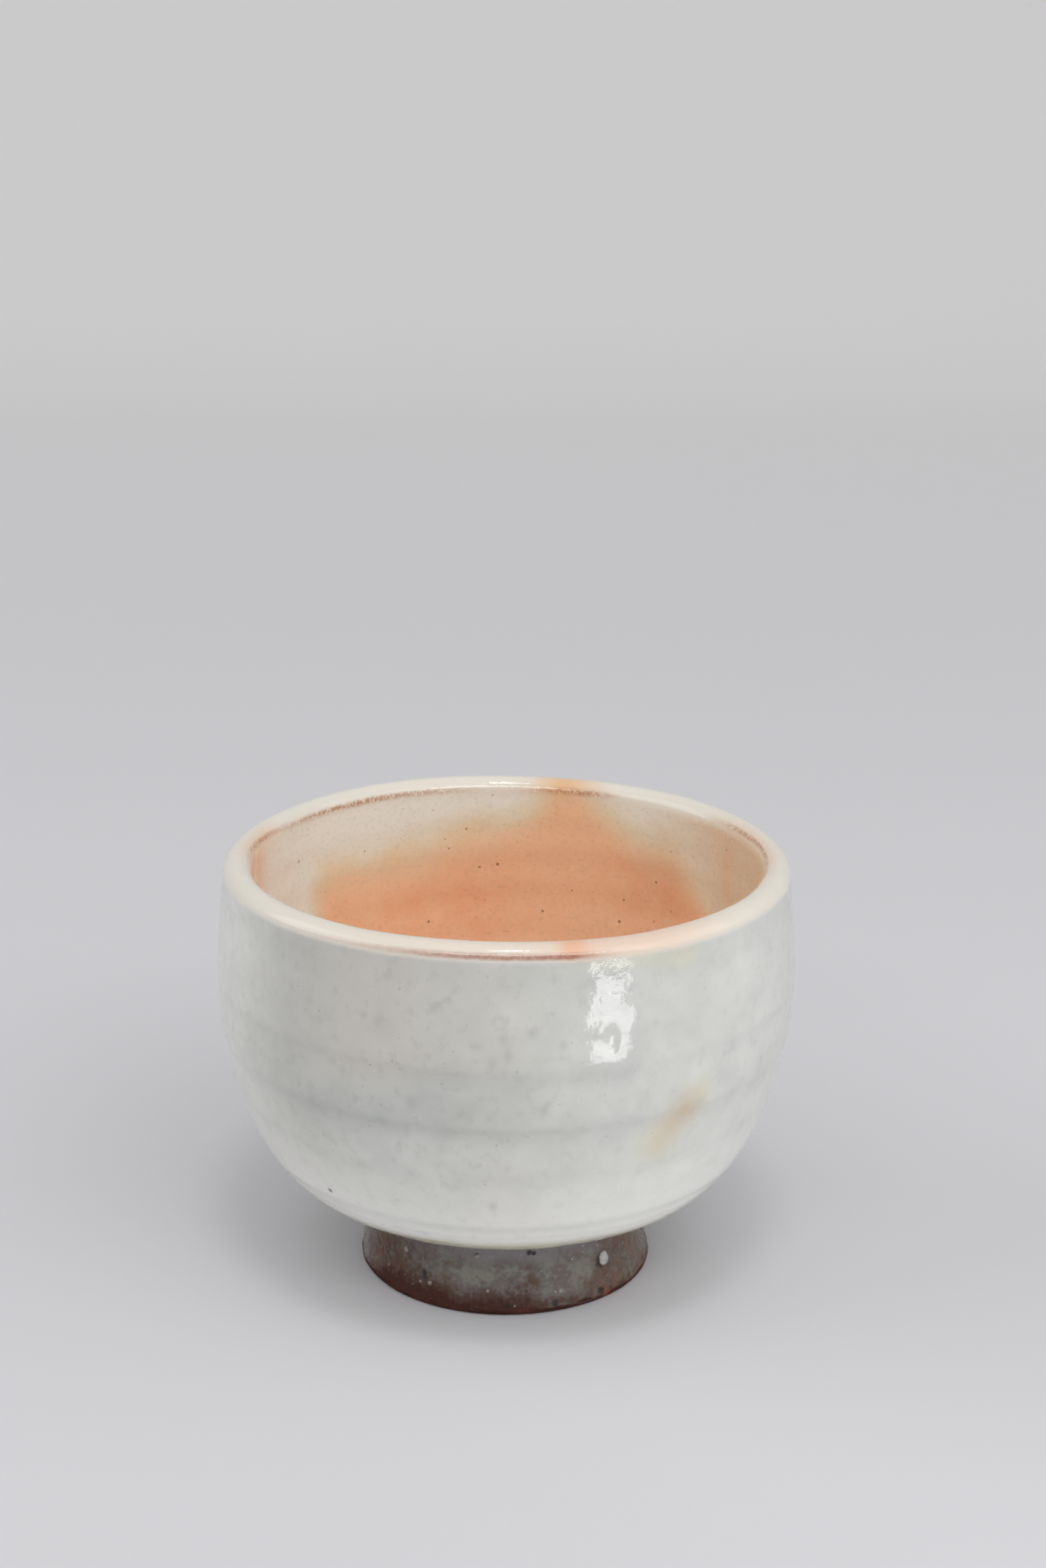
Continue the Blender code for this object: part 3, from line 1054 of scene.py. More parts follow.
    # The stain's patches lie along and across its way, in millimetres from its place.
    stain_place: tuple[float, float] = (34.2, 39.2)
    stain_way: tuple[float, float] = (0.71, 0.70)
    stain_degree: float = 0.778
    stain: tuple[Patch, ...] = (
        Patch(0.66, 2.2, 2.4, 0.0, 2.9),
        Patch(0.44, -1.8, 2.5, 0.0, 3.0),
        Patch(0.15, -5.0, 2.2, 0.2, 3.0),
    )
    stain_ends: tuple[Patch, ...] = (Patch(0.42, 5.4, 2.0, 0.0, 2.0), Patch(0.50, -5.3, 2.4, 0.2, 2.9))
    lip_tinge: Patch = Patch(0.45, 34.5, 4.0, 63.4, 1.3)
    lip_edge_tinge: Patch = Patch(0.40, 24.0, 11.0)
    honey_reach: Patch = Patch(1.2, 166.0, 14.0)
    # Tints of the lining. The second ember and the dark patch, both near 140 degrees, darken the blush's
    # right side.
    embers: tuple[Patch, ...] = (Patch(0.9, 196.0, 24.0, 44.0, 9.0), Patch(1.4, 141.0, 11.0, 52.0, 8.0))
    thread: Patch = Patch(0.50, 115.5, 2.8, 58.0, 5.5)
    singe: Patch = Patch(0.03, 106.0, 17.0)
    left_ember: Patch = Patch(1.0, 265.0, 8.0)
    pale_spot: Patch = Patch(5.0, 139.0, 6.0, 43.0, 3.5)
    char: Patch = Patch(0.13, 139.0, 10.0, 54.0, 7.0)
    # The coats.
    outside: Coat = Coat(
        "outer_glaze_coat", "outer_glaze", Slot.WHITE, WhiteGlaze(),
        Stop.GLAZE_EDGE, Stop.OUTER_LINE, 150, 12,
    )
    rim: Coat = Coat(
        "rim_glaze_band", "rim_glaze", Slot.CREAM, RimGlaze(),
        Stop.OUTER_LINE, Stop.INNER_LINE, 56, 8,
    )
    lining: Coat = Coat(
        "inner_glaze_lining", "inner_glaze", Slot.BLUSHED, Lining(),
        Stop.INNER_LINE, Stop.FLOOR, 150, 16,
    )

    def __post_init__(self) -> None:
        """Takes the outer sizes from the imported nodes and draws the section."""
        self.belly_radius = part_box("outer_glaze")[1].x
        self.rim_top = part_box("rim_glaze")[1].z
        self.lip_radius = self.lip_width / 2
        self.lip_height = self.rim_top - self.lip_radius
        self.angle = np.linspace(0.0, 360.0, self.columns, endpoint=False)[None, :]
        self.line, self.stops = self.section()

    def lip(self, start: float, end: float) -> tuple[Array, Array]:
        """The lip's round: a circle between two angles from its level outer side over the top.

        Args:
            start: First angle.
            end: Last angle.

        Returns:
            Radii and heights.
        """
        angle = np.radians(np.linspace(start, end, self.fine))
        radius = self.rim_radius - self.lip_radius + self.lip_radius * np.cos(angle)
        return radius, self.lip_height + self.lip_radius * np.sin(angle)

    def shoulder(self, belly_radius: float, lip_radius: float, lip_height: float) -> tuple[Array, Array]:
        """A wall from belly to lip: its radius changes with a power of the height, eased at the belly.

        Args:
            belly_radius: Radius at the belly.
            lip_radius: Radius at the lip.
            lip_height: Height there.

        Returns:
            Radii and heights, upwards.
        """
        climb = np.linspace(0.0, 1.0, self.fine)
        power = self.shoulder_curve / 2
        ease = self.shoulder_ease**2
        share = ((climb**2 + ease) ** power - ease**power) / ((1.0 + ease) ** power - ease**power)
        radius = belly_radius - (belly_radius - lip_radius) * share
        return radius, self.belly_height + (lip_height - self.belly_height) * climb

    def section(self) -> tuple[SectionLine, dict[Stop, float]]:
        """The glazed face's line: superellipse heel, shoulder, round lip, shoulder, superellipse hollow.

        Returns:
            The line, and the distances of its stops.
        """
        spread = self.belly_radius - self.seat_radius
        drop = self.belly_height - self.seat_height + self.coat
        start = math.asin(((self.glaze_edge_radius - self.seat_radius) / spread) ** (self.heel_spread / 2))
        turn = np.linspace(start, math.pi / 2, self.fine)
        heel = (
            self.seat_radius + spread * np.sin(turn) ** (2 / self.heel_spread),
            self.belly_height - drop * np.cos(turn) ** (2 / self.heel_drop),
        )
        lean = self.shoulder_curve / (self.lip_height - self.belly_height)
        mouth_radius = self.rim_radius - self.lip_width
        lip_start = math.degrees(math.atan(lean * (self.belly_radius - self.rim_radius)))
        lip_end = 180.0 + math.degrees(math.atan(lean * (self.hollow_radius - mouth_radius)))
        lip = self.lip(lip_start, lip_end)
        outside = self.shoulder(self.belly_radius, lip[0][0], lip[1][0])
        inside = self.shoulder(self.hollow_radius, lip[0][-1], lip[1][-1])
        turn = np.linspace(math.pi / 2, 0.0, self.fine)
        drop = self.belly_height - self.hollow_floor
        hollow = (
            self.hollow_radius * np.sin(turn) ** (2 / self.hollow_spread),
            self.belly_height - drop * np.cos(turn) ** (2 / self.hollow_drop),
        )
        stretches = (heel, outside, lip, (inside[0][::-1], inside[1][::-1]), hollow)
        radius = np.concatenate([stretch[0][:-1] for stretch in stretches] + [[0.0]])
        height = np.concatenate([stretch[1][:-1] for stretch in stretches] + [[self.hollow_floor]])
        line = SectionLine(radius, height)
        lip_arc = line.arc[2 * (self.fine - 1)]
        per_degree = math.radians(self.lip_radius)
        stops = {
            Stop.GLAZE_EDGE: 0.0,
            Stop.OUTER_LINE: lip_arc + per_degree * (self.outer_line_angle - lip_start),
            Stop.CREST: lip_arc + per_degree * (90.0 - lip_start),
            Stop.INNER_LINE: lip_arc + per_degree * (180.0 - self.inner_line_angle - lip_start),
            Stop.FLOOR: line.arc[-1],
        }
        return line, stops

    def grid(self, rows: SectionRows, depth: float) -> Array:
        """Turns rows about the axis, sunk below the glazed face by a depth.

        The face bends with the hand that made it: the rim rises and falls, the wall is a little out of
        round, and rings and lumps stand out along its normal. On the axis all of this fades.

        Args:
            rows: Rows along the section.
            depth: Depth under the face.

        Returns:
            Points on a grid of rows by columns by 3.
        """
        radius = rows.radius[:, None]
        height = rows.height[:, None]
        swell = self.relief(around(radius, self.angle, height), rows) - depth
        bend = smoothstep(30 * MM, 66 * MM, height) * smoothstep(0.0, 12 * MM, radius)
        wide = radius + rows.out_radius[:, None] * swell + bend * waves(self.angle, self.out_of_round)
        high = height + rows.out_height[:, None] * swell + bend * waves(self.angle, self.rim_rise)
        return around(np.where(radius < ON_AXIS, 0.0, wide), self.angle, high)

    def relief(self, place: Array, rows: SectionRows) -> Array:
        """Height of the glazed face above its smooth section.

        It has finger rings, lumps, ripples, a run in the glaze, and a narrow flat along the lip's inner
        side, which is a chord in place of the lip's arc.

        Args:
            place: Points of the smooth face.
            rows: The rows they lie on.

        Returns:
            Distances along the normal, on the grid.
        """
        from_crest = (rows.arc - self.stops[Stop.CREST])[:, None]
        outside = smoothstep(-3 * MM, -9 * MM, from_crest)
        inside = smoothstep(4 * MM, 12 * MM, from_crest)
        centre = smoothstep(2 * MM, 10 * MM, rows.radius)[:, None]
        height = place[..., 2]
        wander = self.ring_wander * self.edges.at(place * np.array((1.0, 1.0, 0.3)), self.wander_size)
        rings = sum(ring.at(height + wander, self.angle) for ring in self.rings)
        turns = height / self.spiral_pitch + self.angle / 360.0
        spiral = self.spiral_depth * np.cos(2 * math.pi * turns)
        lumps = self.lump_height * self.lumps.at(place, self.lump_size)
        lumps = lumps + self.ripple_height * self.ripples.rough(place, self.ripple_size, 2)
        dimpled = self.dimple_height + self.drip_dimples.at(self.angle, height / MM)
        dimples = dimpled * MM * self.edges.rough(place, self.dimple_size, 2)
        drip = self.drip.at(self.angle, height / MM) * MM
        bevel = np.maximum(self.bevel_half**2 - (from_crest - self.bevel_place) ** 2, 0.0) / self.lip_width
        return (lumps + outside * (rings + dimples + drip) + inside * spiral) * centre - bevel

    def build(self) -> None:
        """Builds and dresses every piece of the bowl."""
        self.build_coat(self.outside, self.outside_masks)
        self.build_coat(self.rim)
        self.build_coat(self.lining, self.lining_masks)
        self.build_clay()

    def build_coat(self, coat: Coat, own_masks: Callable[[Array], Masks] | None = None) -> None:
        """A coat between two stops: its face, then its back a shell's thickness below.

        Args:
            coat: The coat.
            own_masks: Gives the masks that it has besides the lip's, from the points of its face.
        """
        ends = (self.stops[coat.start], self.stops[coat.end])
        face = self.line.rows(np.linspace(*ends, coat.rows))
        back = self.line.rows(np.linspace(*ends[::-1], coat.back_rows))
        place = self.grid(face, 0.0)
        masks = self.lip_masks(face) | (own_masks(place) if own_masks else {})
        points = np.concatenate((place, self.grid(back, self.shell)))
        piece = ring_mesh(coat.name, points, coat.end is not Stop.FLOOR, masks)
        dress(piece, coat.finish, coat.slot, coat.node)

    def lip_masks(self, face: SectionRows) -> Masks:
        """Masks that the lip's tones read, on a coat's face.

        Args:
            face: Rows of the face.

        Returns:
            The distance from the lip's top, and how much rust, peach and honey there is round the cup.
        """
        crest = (face.arc[:, None] - self.stops[Stop.CREST]) / MM
        reach = crest + self.honey_reach.at(self.angle, crest)
        return {
            "crest": crest + round_about(self.angle, self.inner_shift) * smoothstep(0.0, 2.0, crest),
            "peach": round_about(self.angle, self.peach, 1.5) * smoothstep(-4.6, -1.9, crest),
            "honey": round_about(self.angle, self.plume) * smoothstep(-1.0, 2.4, reach),
            "outer_rust": round_about(self.angle, self.outer_rust),
            "inner_rust": round_about(self.angle, self.inner_rust),
        }

    def outside_masks(self, place: Array) -> Masks:
        """Masks of the white coat: thick and thin glaze, a warm tint that is partly painted warm light,
        painted shade in the grooves, painted bounce light on the heel, mottling, and the stain at the right.

        Args:
            place: Points of its face.

        Returns:
            The masks by name.
        """
        angle = self.angle
        height = place[..., 2] / MM
        drift = self.lumps.rough(place, 9 * MM, 3)
        low = smoothstep(42.0, 26.5, height + 0.8 * drift)
        # Painted shade in the three upper grooves: the glaze is made less milky along them. It is also less
        # milky just below the lip.
        painted_groove_shade = sum(hump(height, ring.height / MM - 0.2, 1.3) for ring in self.rings[:3])
        milk = round_about(angle, self.milkiness, 12.0) * (1.0 - low) + 0.95 * low + 0.10 * drift
        milk = milk - 0.10 * smoothstep(59.0, 63.5, height) - painted_groove_shade * self.groove_shade.at(angle, height)
        upper = smoothstep(44.0, 50.0, height + 2.0 * drift)
        beside = turn_between(angle, self.stain_place[0]) * self.stain_degree
        over = height - self.stain_place[1]
        along = self.stain_way[0] * beside + self.stain_way[1] * over
        across = self.stain_way[1] * beside - self.stain_way[0] * over
        tinge = self.lip_edge_tinge.at(angle, height) * smoothstep(62.6, 64.6, height)
        lichen = patched(self.stain_ends, along, across) + self.lip_tinge.at(angle, height) + tinge
        smudges = (Patch(self.smudge, turn, self.smudge_width, *level) for turn, *level in self.smudges)
        return {
            "milk": milk,
            # The glaze's pink tint above, and painted warm light on the left side and front.
            "warmth": self.warm_upper.at(angle, height) * upper + patched(self.warm_light_sides, angle, height),
            "mottling": (0.18 + self.mottled.at(angle, height)) * (1.0 - 0.65 * low),
            "smudge": patched(tuple(smudges), angle, height),
            "smear": patched(self.stain, along, across),
            "lichen": np.maximum(lichen, 0.60 * smoothstep(19.6, 17.2, height)),
            # The heel's mask is painted bounce light from the floor. It is less in the ring at 21.6 mm,
            # which is painted groove shade.
            "heel": smoothstep(30.0, 19.5, height) - 0.50 * hump(height, 21.6, 1.0),
        }

    def lining_masks(self, place: Array) -> Masks:
        """Masks of the lining: the height above the blush's edge, pale sides, painted shade on the right
        side, embers and a dark patch.

        Args:
            place: Points of its face.

        Returns:
            The masks by name.
        """
        angle = self.angle
        height = place[..., 2] / MM
        drift = self.lumps.rough(place, 8 * MM, 3)
        wavy = angle + 2.2 * drift
        past_front = smoothstep(55.0, 80.0, angle)
        right = smoothstep(143.0, 122.5, wavy + 0.65 * (57.0 - height)) * past_front
        left = smoothstep(227.0, 236.5, wavy + 0.3 * (54.5 - height)) * smoothstep(305.0, 280.0, angle)
        pale = np.maximum(right, left) * smoothstep(35.0, 46.0, height + 2.5 * drift)
        above = height - round_about(angle, self.blush_edge, 5.0) + 0.9 * drift
        above = above + (np.maximum(above, 6.0) - above) * pale + self.pale_spot.at(angle, height)
        ember = np.clip(patched(self.embers, angle, height) + 0.25, 0.0, 1.0) * smoothstep(2.0, -9.0, above)
        singe = self.singe.at(angle, height) * smoothstep(58.5, 64.0, height)
        left_ember = self.left_ember.at(angle, height) * smoothstep(52.0, 59.0, height)
        return {
            "above": above,
            "ember": np.maximum(ember, self.thread.at(wavy, height) + singe + left_ember),
            # Painted shade, growing towards the lining's right side.
            "sand": 0.9 * smoothstep(148.0, 116.0, angle) * past_front,
            "char": self.char.at(angle, height),
        }

    def build_clay(self) -> None:
        """The clay between the coats, bare under the heel and at the ceiling of the foot's well."""
        well_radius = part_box("foot_ring")[1].x - self.foot_wall
        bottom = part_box("clay_bowl")[0].z
        seat = self.seat_height - 0.2 * MM
        under = (
            (0.0, bottom),
            (well_radius * 0.5, bottom),
            (well_radius, bottom),
            (well_radius, seat),
            (self.seat_radius, seat),
            (self.glaze_edge_radius - 2.0 * MM, self.seat_height),
        )
        radius, height = np.array(under).T[..., None]
        face = self.line.rows(np.linspace(0.0, self.line.arc[-1], 120))
        skin = self.grid(face, self.shell + 0.05 * MM)
        points = np.concatenate((around(radius, self.angle, height), skin))
        piece = ring_mesh("clay_bowl_body", points, False, {})
        dress(piece, BareClay(), Slot.BOWL_CLAY, "clay_bowl")


@dataclass
class TurnedFoot:
    """The foot: a turned ring of clay, its thin wash of glaze, and the grains that show in its side."""

    base_radius: float = 23.0 * MM
    neck_radius: float = 20.9 * MM
    wall: float = 7.0 * MM
    well_taper: float = 0.8 * MM
    edge_round: float = 1.0 * MM
    seat_gap: float = 0.3 * MM
    bare_band: float = 1.0 * MM
    grain_rise: float = 0.05 * MM
    grain_form: Point = (0.95, 0.70, 1.00)
    large_grain_form: Point = (1.10, 0.62, 1.28)
    bright_grain: float = 0.7 * MM
    dull_grain: Feldspar = Feldspar("feldspar_dull", (0.360, 0.335, 0.305), (0.130, 0.105, 0.090))
    clay_rough: float = 0.10 * MM
    wash_rough: float = 0.09 * MM
    rough_size: float = 2.2 * MM
    tool_depth: float = 0.03 * MM
    tool_pitch: float = 0.8 * MM
    wash_waves: float = 0.08 * MM
    edge_waves: float = 0.5 * MM
    wave_size: float = 6 * MM
    wash_lean: float = 0.6 * MM
    wash_flare: float = 0.45 * MM
    columns: int = 600
    wash_rows: int = 48
    bulge: Patch = Patch(0.35 * MM, 62.0, 30.0)
    waist: Patch = Patch(1.1 * MM, 85.0, 28.0)
    dark_rise: Table = (
        (-90.0, 2.0), (-75.0, 1.8), (-60.0, 2.6), (-50.0, 4.2), (-30.0, 4.4), (-8.0, 4.6), (5.0, 4.0),
        (12.0, 3.2), (18.0, 2.2), (40.0, 2.0), (65.0, 2.4), (90.0, 2.6), (180.0, 3.4),
    )
    # Shifts of the bare share. The negative ones at -76 and 64 degrees make the far sides paler, as painted
    # sheen.
    bare: tuple[Patch, ...] = (
        Patch(-0.42, -12.0, 15.0, 6.6, 2.6),
        Patch(-0.34, 17.0, 6.0, 6.0, 3.4),
        Patch(-0.30, 33.0, 7.0, 7.0, 3.0),
        Patch(0.36, -50.0, 15.0),
        Patch(-0.25, -76.0, 8.0),
        Patch(0.10, 47.0, 8.0),
        Patch(-0.10, 64.0, 14.0),
    )
    tan: tuple[Patch, ...] = (Patch(0.90, 61.0, 20.0), Patch(0.55, -56.0, 12.0))
    # Where the blue-grey top band lies, with painted light on it.
    smoke: Patch = Patch(0.80, 4.0, 40.0)
    chatter: Unevenness = Unevenness(51)
    edges: Unevenness = Unevenness(67)

    def __post_init__(self) -> None:
        """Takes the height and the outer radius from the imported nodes."""
        self.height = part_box("foot_ring")[1].z + self.seat_gap
        self.wash_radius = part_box("foot_glaze")[1].x
        self.angle = np.linspace(0.0, 360.0, self.columns, endpoint=False)[None, :]

    def swell(self, height: Array) -> Array:
        """How far the foot swells at its lower right, which fades upwards."""
        return self.bulge.at(self.angle, height) * smoothstep(6 * MM, 1.5 * MM, height)

    def clay_radius(self, height: Array) -> Array:
        """Radius of the clay's side: it narrows from the base to the neck."""
        narrowing = (self.base_radius - self.neck_radius) * smoothstep(0.5 * MM, 6 * MM, height)
        return self.base_radius - narrowing

    def build(self) -> None:
        """Builds and dresses every piece of the foot."""
        self.build_ring()
        self.build_wash()
        self.build_grains()

    def build_ring(self) -> None:
        """The ring: a rounded rectangle carried round the axis, roughened by the turning tool."""
        corner = np.radians(np.linspace(0.0, 90.0, 8))
        side = np.linspace(self.height, self.edge_round, 40)
        bite = self.edge_round * (1 - np.sin(corner))
        well_base = self.base_radius - self.wall
        outer_edge = self.clay_radius(side[-1:]) - self.edge_round * (1 - np.cos(corner[1:]))
        flat = np.linspace(outer_edge[-1], well_base + self.edge_round, 12)[1:]
        inner_edge = well_base + bite[1:]
        well = np.linspace(self.edge_round, self.height, 30)[1:]
        taper = self.well_taper * (well - self.edge_round) / (self.height - self.edge_round)
        radius = np.concatenate((self.clay_radius(side), outer_edge, flat, inner_edge, well_base - taper))
        height = np.concatenate((side, bite[1:], np.zeros_like(flat), bite[::-1][1:], well))[:, None]
        outward = np.where(np.arange(len(radius)) < len(side) + len(corner), 1.0, -1.0)[:, None]
        radius = radius[:, None]
        place = around(radius, self.angle, height)
        rough = self.clay_rough * self.chatter.rough(place, self.rough_size, 3)
        turned = self.tool_depth * np.cos(2 * math.pi * height / self.tool_pitch + np.radians(self.angle))
        aloft = smoothstep(0.2 * MM, 1.5 * MM, height)
        radius = radius + np.maximum(outward, 0.0) * self.swell(height) + outward * aloft * (rough + turned)
        piece = ring_mesh("foot_ring_clay", around(radius, self.angle, height)[::-1], True, {})
        dress(piece, BareClay(), Slot.FOOT_CLAY, "foot_ring")

    def build_wash(self) -> None:
        """The wash: a thin shell on the side, wavy at its lower edge, where it thins out to nothing."""
        band = around(self.wash_radius, self.angle, self.bare_band)
        edge = self.bare_band + self.edge_waves * self.edges.rough(band, self.wave_size, 2)
        height = edge + (self.height - edge) * np.linspace(0.0, 1.0, self.wash_rows)[:, None]
        swell = self.swell(height)
        clay = self.clay_radius(height) + swell
        place = around(clay, self.angle, height)
        rough = self.wash_rough * self.chatter.rough(place, self.rough_size, 3)
        rough = rough + self.wash_waves * self.edges.rough(place, self.wave_size, 2)
        waist = self.waist.at(self.angle, height) * smoothstep(2 * MM, 6 * MM, height)
        flare = self.wash_flare * smoothstep(5.0 * MM, 1.2 * MM, height) + swell
        outer = self.wash_radius - 0.10 * MM - self.wash_lean * height / self.height - waist + flare
        cover = smoothstep(0.0, 2.2 * MM, height - edge)
        face = around(clay + 0.02 * MM + (outer - clay) * cover + rough, self.angle, height)
        back = around(clay - 0.2 * MM, self.angle, height)[::-1][::6]
        masks = self.wash_masks(place)
        piece = ring_mesh("foot_glaze_wash", np.concatenate((face, back)), True, masks)
        dress(piece, AshWash(), Slot.ASH, "foot_glaze")

    def wash_masks(self, place: Array) -> Masks:
        """Masks of the wash: where it is bare, where tanned, and the blue-grey top band with painted light
        on it.

        Args:
            place: Points of the clay below its face.

        Returns:
            The masks by name.
        """
        level = place[..., 2] / MM
        blotches = self.edges.rough(place, 5 * MM, 2)
        dark = np.clip(round_about(self.angle, self.dark_rise) + 0.4 - level, 0.0, 3.5)
        # The top band is made paler: painted light where the bowl's shadow falls on it.
        bare = 0.48 + 0.26 * dark - 0.45 * smoothstep(9.6, 12.5, level) + 0.15 * blotches
        return {
            "bare": bare + patched(self.bare, self.angle, level),
            "tan": patched(self.tan, self.angle, level),
            "smoke": self.smoke.at(self.angle, level) * smoothstep(7.6, 9.6, level + 0.8 * blotches),
        }

    def build_grains(self) -> None:
        """The grains: lumpy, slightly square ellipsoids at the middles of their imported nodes."""
        tilt = np.radians(np.linspace(-90.0, 90.0, 15))[:, None]
        ball = around(np.cos(tilt), np.linspace(0.0, 360.0, 24, endpoint=False)[None, :], np.sin(tilt))
        ball[[0, -1], :, :2] = 0.0
        ball = np.sign(ball) * np.abs(ball) ** 0.82
        for node in sorted(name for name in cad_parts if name.startswith("feldspar_grain")):
            low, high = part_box(node)
            middle = (low + high) / 2
            half_height = (high.z - low.z) / 2
            large = half_height > self.bright_grain
            outward = math.atan2(middle.x, -middle.y)
            lumpy = 1.0 + 0.20 * self.chatter.at(ball + np.array(middle) / MM, 0.9)[..., None]
            lumpy[[0, -1]] = 1.0
            piece = ring_mesh(f"{node}_stone", ball * lumpy, False, {})
            form = self.large_grain_form if large else self.grain_form
            size = Matrix.Diagonal((*(half_height * np.array(form)), 1.0))
            proud = Vector((math.sin(outward), -math.cos(outward), 0.0)) * self.grain_rise
            spin = Matrix.Rotation(outward, 4, "Z")
            piece.data.transform(Matrix.Translation(middle + proud) @ spin @ size)
            dress(piece, Feldspar() if large else self.dull_grain, Slot.FELDSPAR, node)


@dataclass(frozen=True)
class FloorPaper(Finish):
    """Plain pale paper, lighter further back: painted light for a brighter far floor and wall."""

    name: str = "pale_paper"
    near: Colour = (0.602, 0.600, 0.620)
    # The lighter far tone is painted light.
    far: Colour = (0.760, 0.755, 0.752)
    clouds: Cloud = Cloud(200.0, 0.6)
    roughness: float = 0.9

    def looks(self, graph: Graph) -> Feeds:
        """The two shades, with the faintest of clouds.

        Args:
            graph: The material's graph.

        Returns:
            What the shader's inputs get, by name.
        """
        depth = graph.node("ShaderNodeSeparateXYZ", {0: graph.place}).outputs["Y"]
        share = graph.plus(graph.step(depth, 0.20, 1.30), graph.times(graph.cloud(self.clouds), 0.10))
        colour = graph.layers(self.near, (self.far, share))
        return {"Base Color": colour, "Roughness": self.roughness, "Specular IOR Level": 0.1}


@dataclass(frozen=True)
class Lamp:
    """A soft rectangular lamp that faces the cup."""

    name: str
    azimuth: float
    elevation: float
    distance: float
    width: float
    height: float
    radiance: float
    spread: float = 180.0

    def power(self) -> float:
        """The power that gives the lamp its radiance straight ahead, less where a grid narrows its beam.

        Returns:
            The power in watts.
        """
        flat = self.radiance * math.pi * self.width * self.height
        half = math.radians(self.spread / 2)
        return flat if self.spread >= 180.0 else flat * (1.0 - half / math.tan(half))


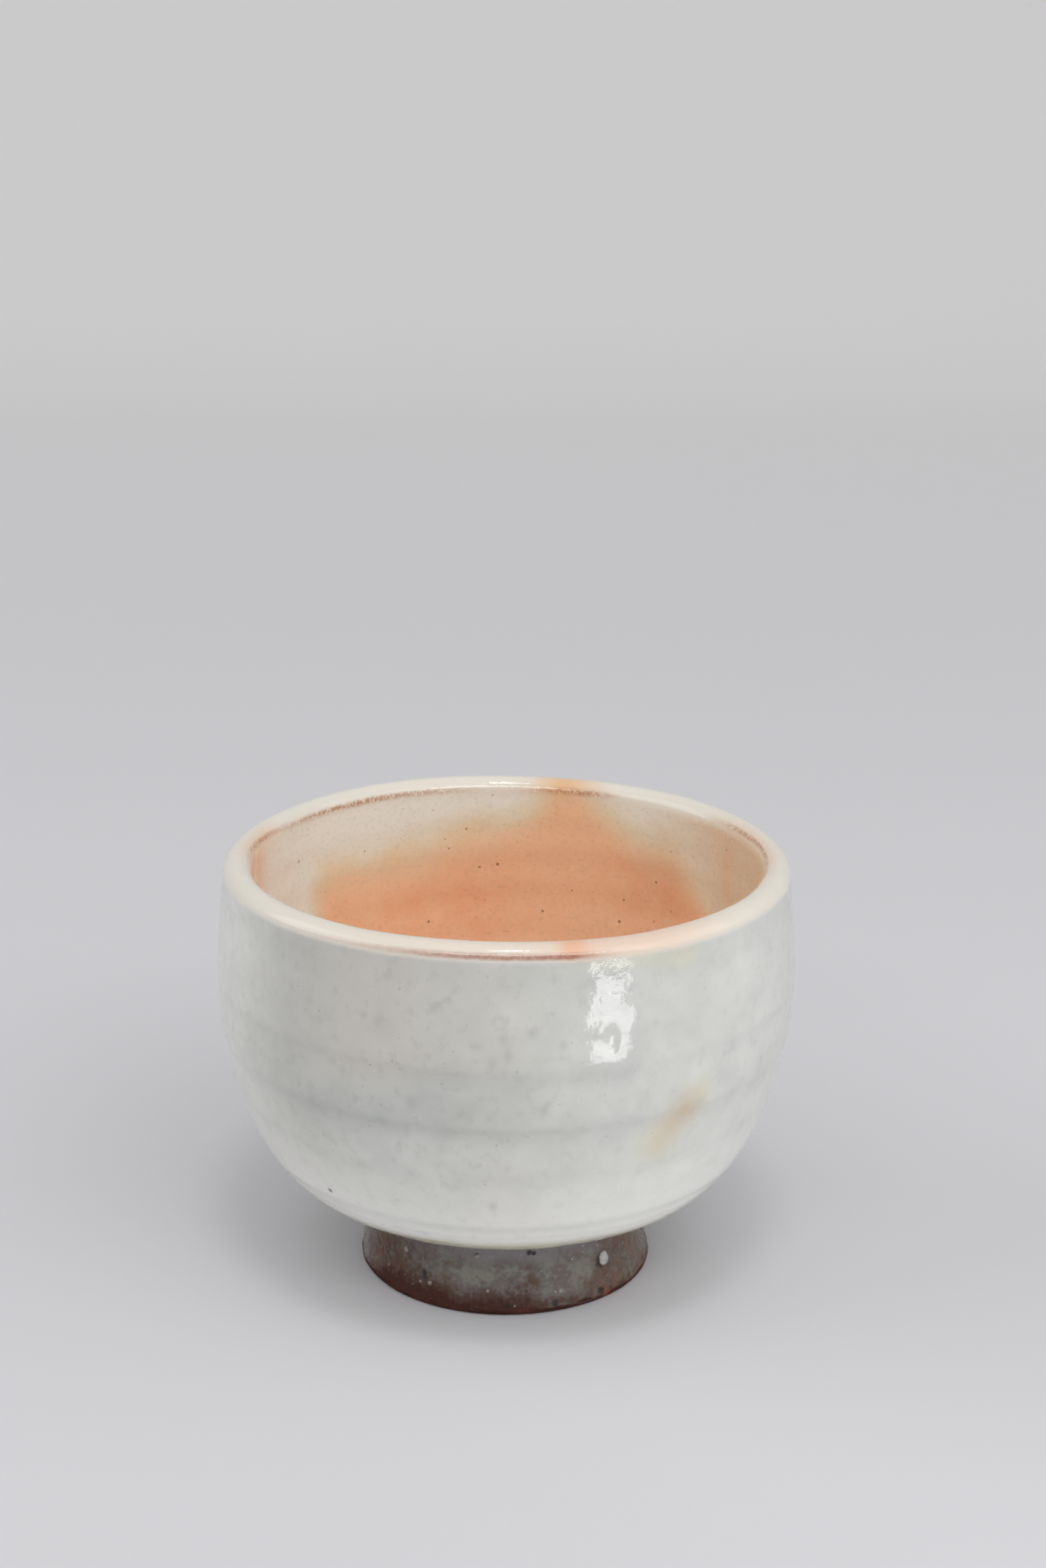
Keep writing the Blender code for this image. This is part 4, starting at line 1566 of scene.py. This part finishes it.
@dataclass
class Studio:
    """The paper sweep, the lamps and the camera."""

    focal_pixels: float = 2824.55
    distance: float = 391.58 * MM
    elevation: float = 22.706
    roll: float = 0.499
    target: Point = (0.0, 0.0, 33.0 * MM)
    target_pixel: tuple[float, float] = (581.61, 1213.60)
    sensor: float = 36.0
    floor_front: float = -2.5
    floor_back: float = 0.9
    bend_radius: float = 0.9
    wall_top: float = 3.0
    half_width: float = 3.0
    sky: Colour = (0.58, 0.58, 0.59)
    lamps: tuple[Lamp, ...] = (
        Lamp("overhead", 5.0, 68.5, 1.5, 0.26, 0.24, 13.8),
        Lamp("front_right", 40.0, 40.0, 1.4, 1.0, 1.0, 1.0),
        Lamp("right_wall", 76.0, 25.0, 1.5, 1.4, 1.2, 0.8),
        Lamp("left_wall", -84.0, 29.0, 1.5, 1.2, 1.0, 1.4),
        Lamp("front_strip", 5.0, 37.6, 1.38, 1.70, 0.09, 9.0),
        Lamp("low_panel", 36.5, -4.5, 0.201, 0.046, 0.035, 8.2, 60.0),
    )

    def build(self) -> None:
        """Builds the stage, the light and the camera."""
        self.build_sweep()
        self.build_light()
        self.build_camera()

    def build_sweep(self) -> None:
        """The sweep: a flat floor that bends up through a quarter circle into a wall, carried along X."""
        bend = np.radians(np.linspace(0.0, 90.0, 24))[1:]
        curve = self.floor_back + self.bend_radius * np.sin(bend)
        depth = np.concatenate(([self.floor_front, self.floor_back], curve, curve[-1:]))
        height = np.concatenate(([0.0, 0.0], self.bend_radius * (1 - np.cos(bend)), [self.wall_top]))
        side = np.linspace(-self.half_width, self.half_width, 5)
        grid = np.stack(np.broadcast_arrays(side[None, :], depth[:, None], height[:, None]), axis=-1)
        rows, columns = grid.shape[:2]
        index = np.arange(rows * columns).reshape(rows, columns)
        quads = np.stack((index[:-1, :-1], index[:-1, 1:], index[1:, 1:], index[1:, :-1]), axis=-1)
        mesh = bpy.data.meshes.new("paper_sweep")
        mesh.from_pydata(grid.reshape(-1, 3).tolist(), [], quads.reshape(-1, 4).tolist())
        mesh.shade_smooth()
        mesh.materials.append(FloorPaper().material())
        sweep = bpy.data.objects.new("paper_sweep", mesh)
        bpy.context.scene.collection.objects.link(sweep)

    def build_light(self) -> None:
        """An even sky and the lamps."""
        world = bpy.data.worlds.new("soft_sky")
        world.use_nodes = True
        world.node_tree.nodes["Background"].inputs["Color"].default_value = (*self.sky, 1.0)
        bpy.context.scene.world = world
        for lamp in self.lamps:
            light = bpy.data.lights.new(lamp.name, "AREA")
            light.shape = "RECTANGLE"
            light.size = lamp.width
            light.size_y = lamp.height
            light.energy = lamp.power()
            light.spread = math.radians(lamp.spread)
            elevation = math.radians(lamp.elevation)
            way = Vector(around(math.cos(elevation), lamp.azimuth, math.sin(elevation)))
            obj = bpy.data.objects.new(lamp.name, light)
            obj.location = Vector(self.target) + lamp.distance * way
            obj.rotation_euler = way.to_track_quat("Z", "Y").to_euler()
            obj.visible_camera = False
            bpy.context.scene.collection.objects.link(obj)

    def build_camera(self) -> None:
        """A camera that puts the cup's middle on its pixel of the photograph."""
        right = self.target_pixel[0] - PHOTO_WIDTH / 2
        down = self.target_pixel[1] - PHOTO_HEIGHT / 2
        elevation = math.radians(self.elevation)
        drop = math.atan2(down, self.focal_pixels)
        pitch = elevation - drop
        yaw = -math.atan2(right, self.focal_pixels / math.cos(drop))
        roll = math.radians(self.roll)
        level = Vector((math.cos(yaw), -math.sin(yaw), 0.0))
        ahead = math.cos(pitch)
        forward = Vector((math.sin(yaw) * ahead, math.cos(yaw) * ahead, -math.sin(pitch)))
        upward = level.cross(forward)
        across = math.cos(roll) * level + math.sin(roll) * upward
        upward = math.cos(roll) * upward - math.sin(roll) * level
        data = bpy.data.cameras.new("camera")
        data.sensor_width = self.sensor
        data.lens = self.sensor * self.focal_pixels / PHOTO_HEIGHT
        camera = bpy.data.objects.new("camera", data)
        turn = Matrix((across, upward, -forward)).transposed().to_4x4()
        back = Vector((0.0, -math.cos(elevation), math.sin(elevation)))
        camera.matrix_world = Matrix.Translation(Vector(self.target) + self.distance * back) @ turn
        bpy.context.scene.collection.objects.link(camera)
        bpy.context.scene.camera = camera
        bpy.context.scene.view_settings.view_transform = "Standard"


def main() -> None:
    """Builds the cup and its studio."""
    logging.basicConfig(level=logging.INFO, format="%(name)s: %(message)s")
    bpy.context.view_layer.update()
    GlazedBowl().build()
    TurnedFoot().build()
    Studio().build()


if __name__ == "__main__":
    main()
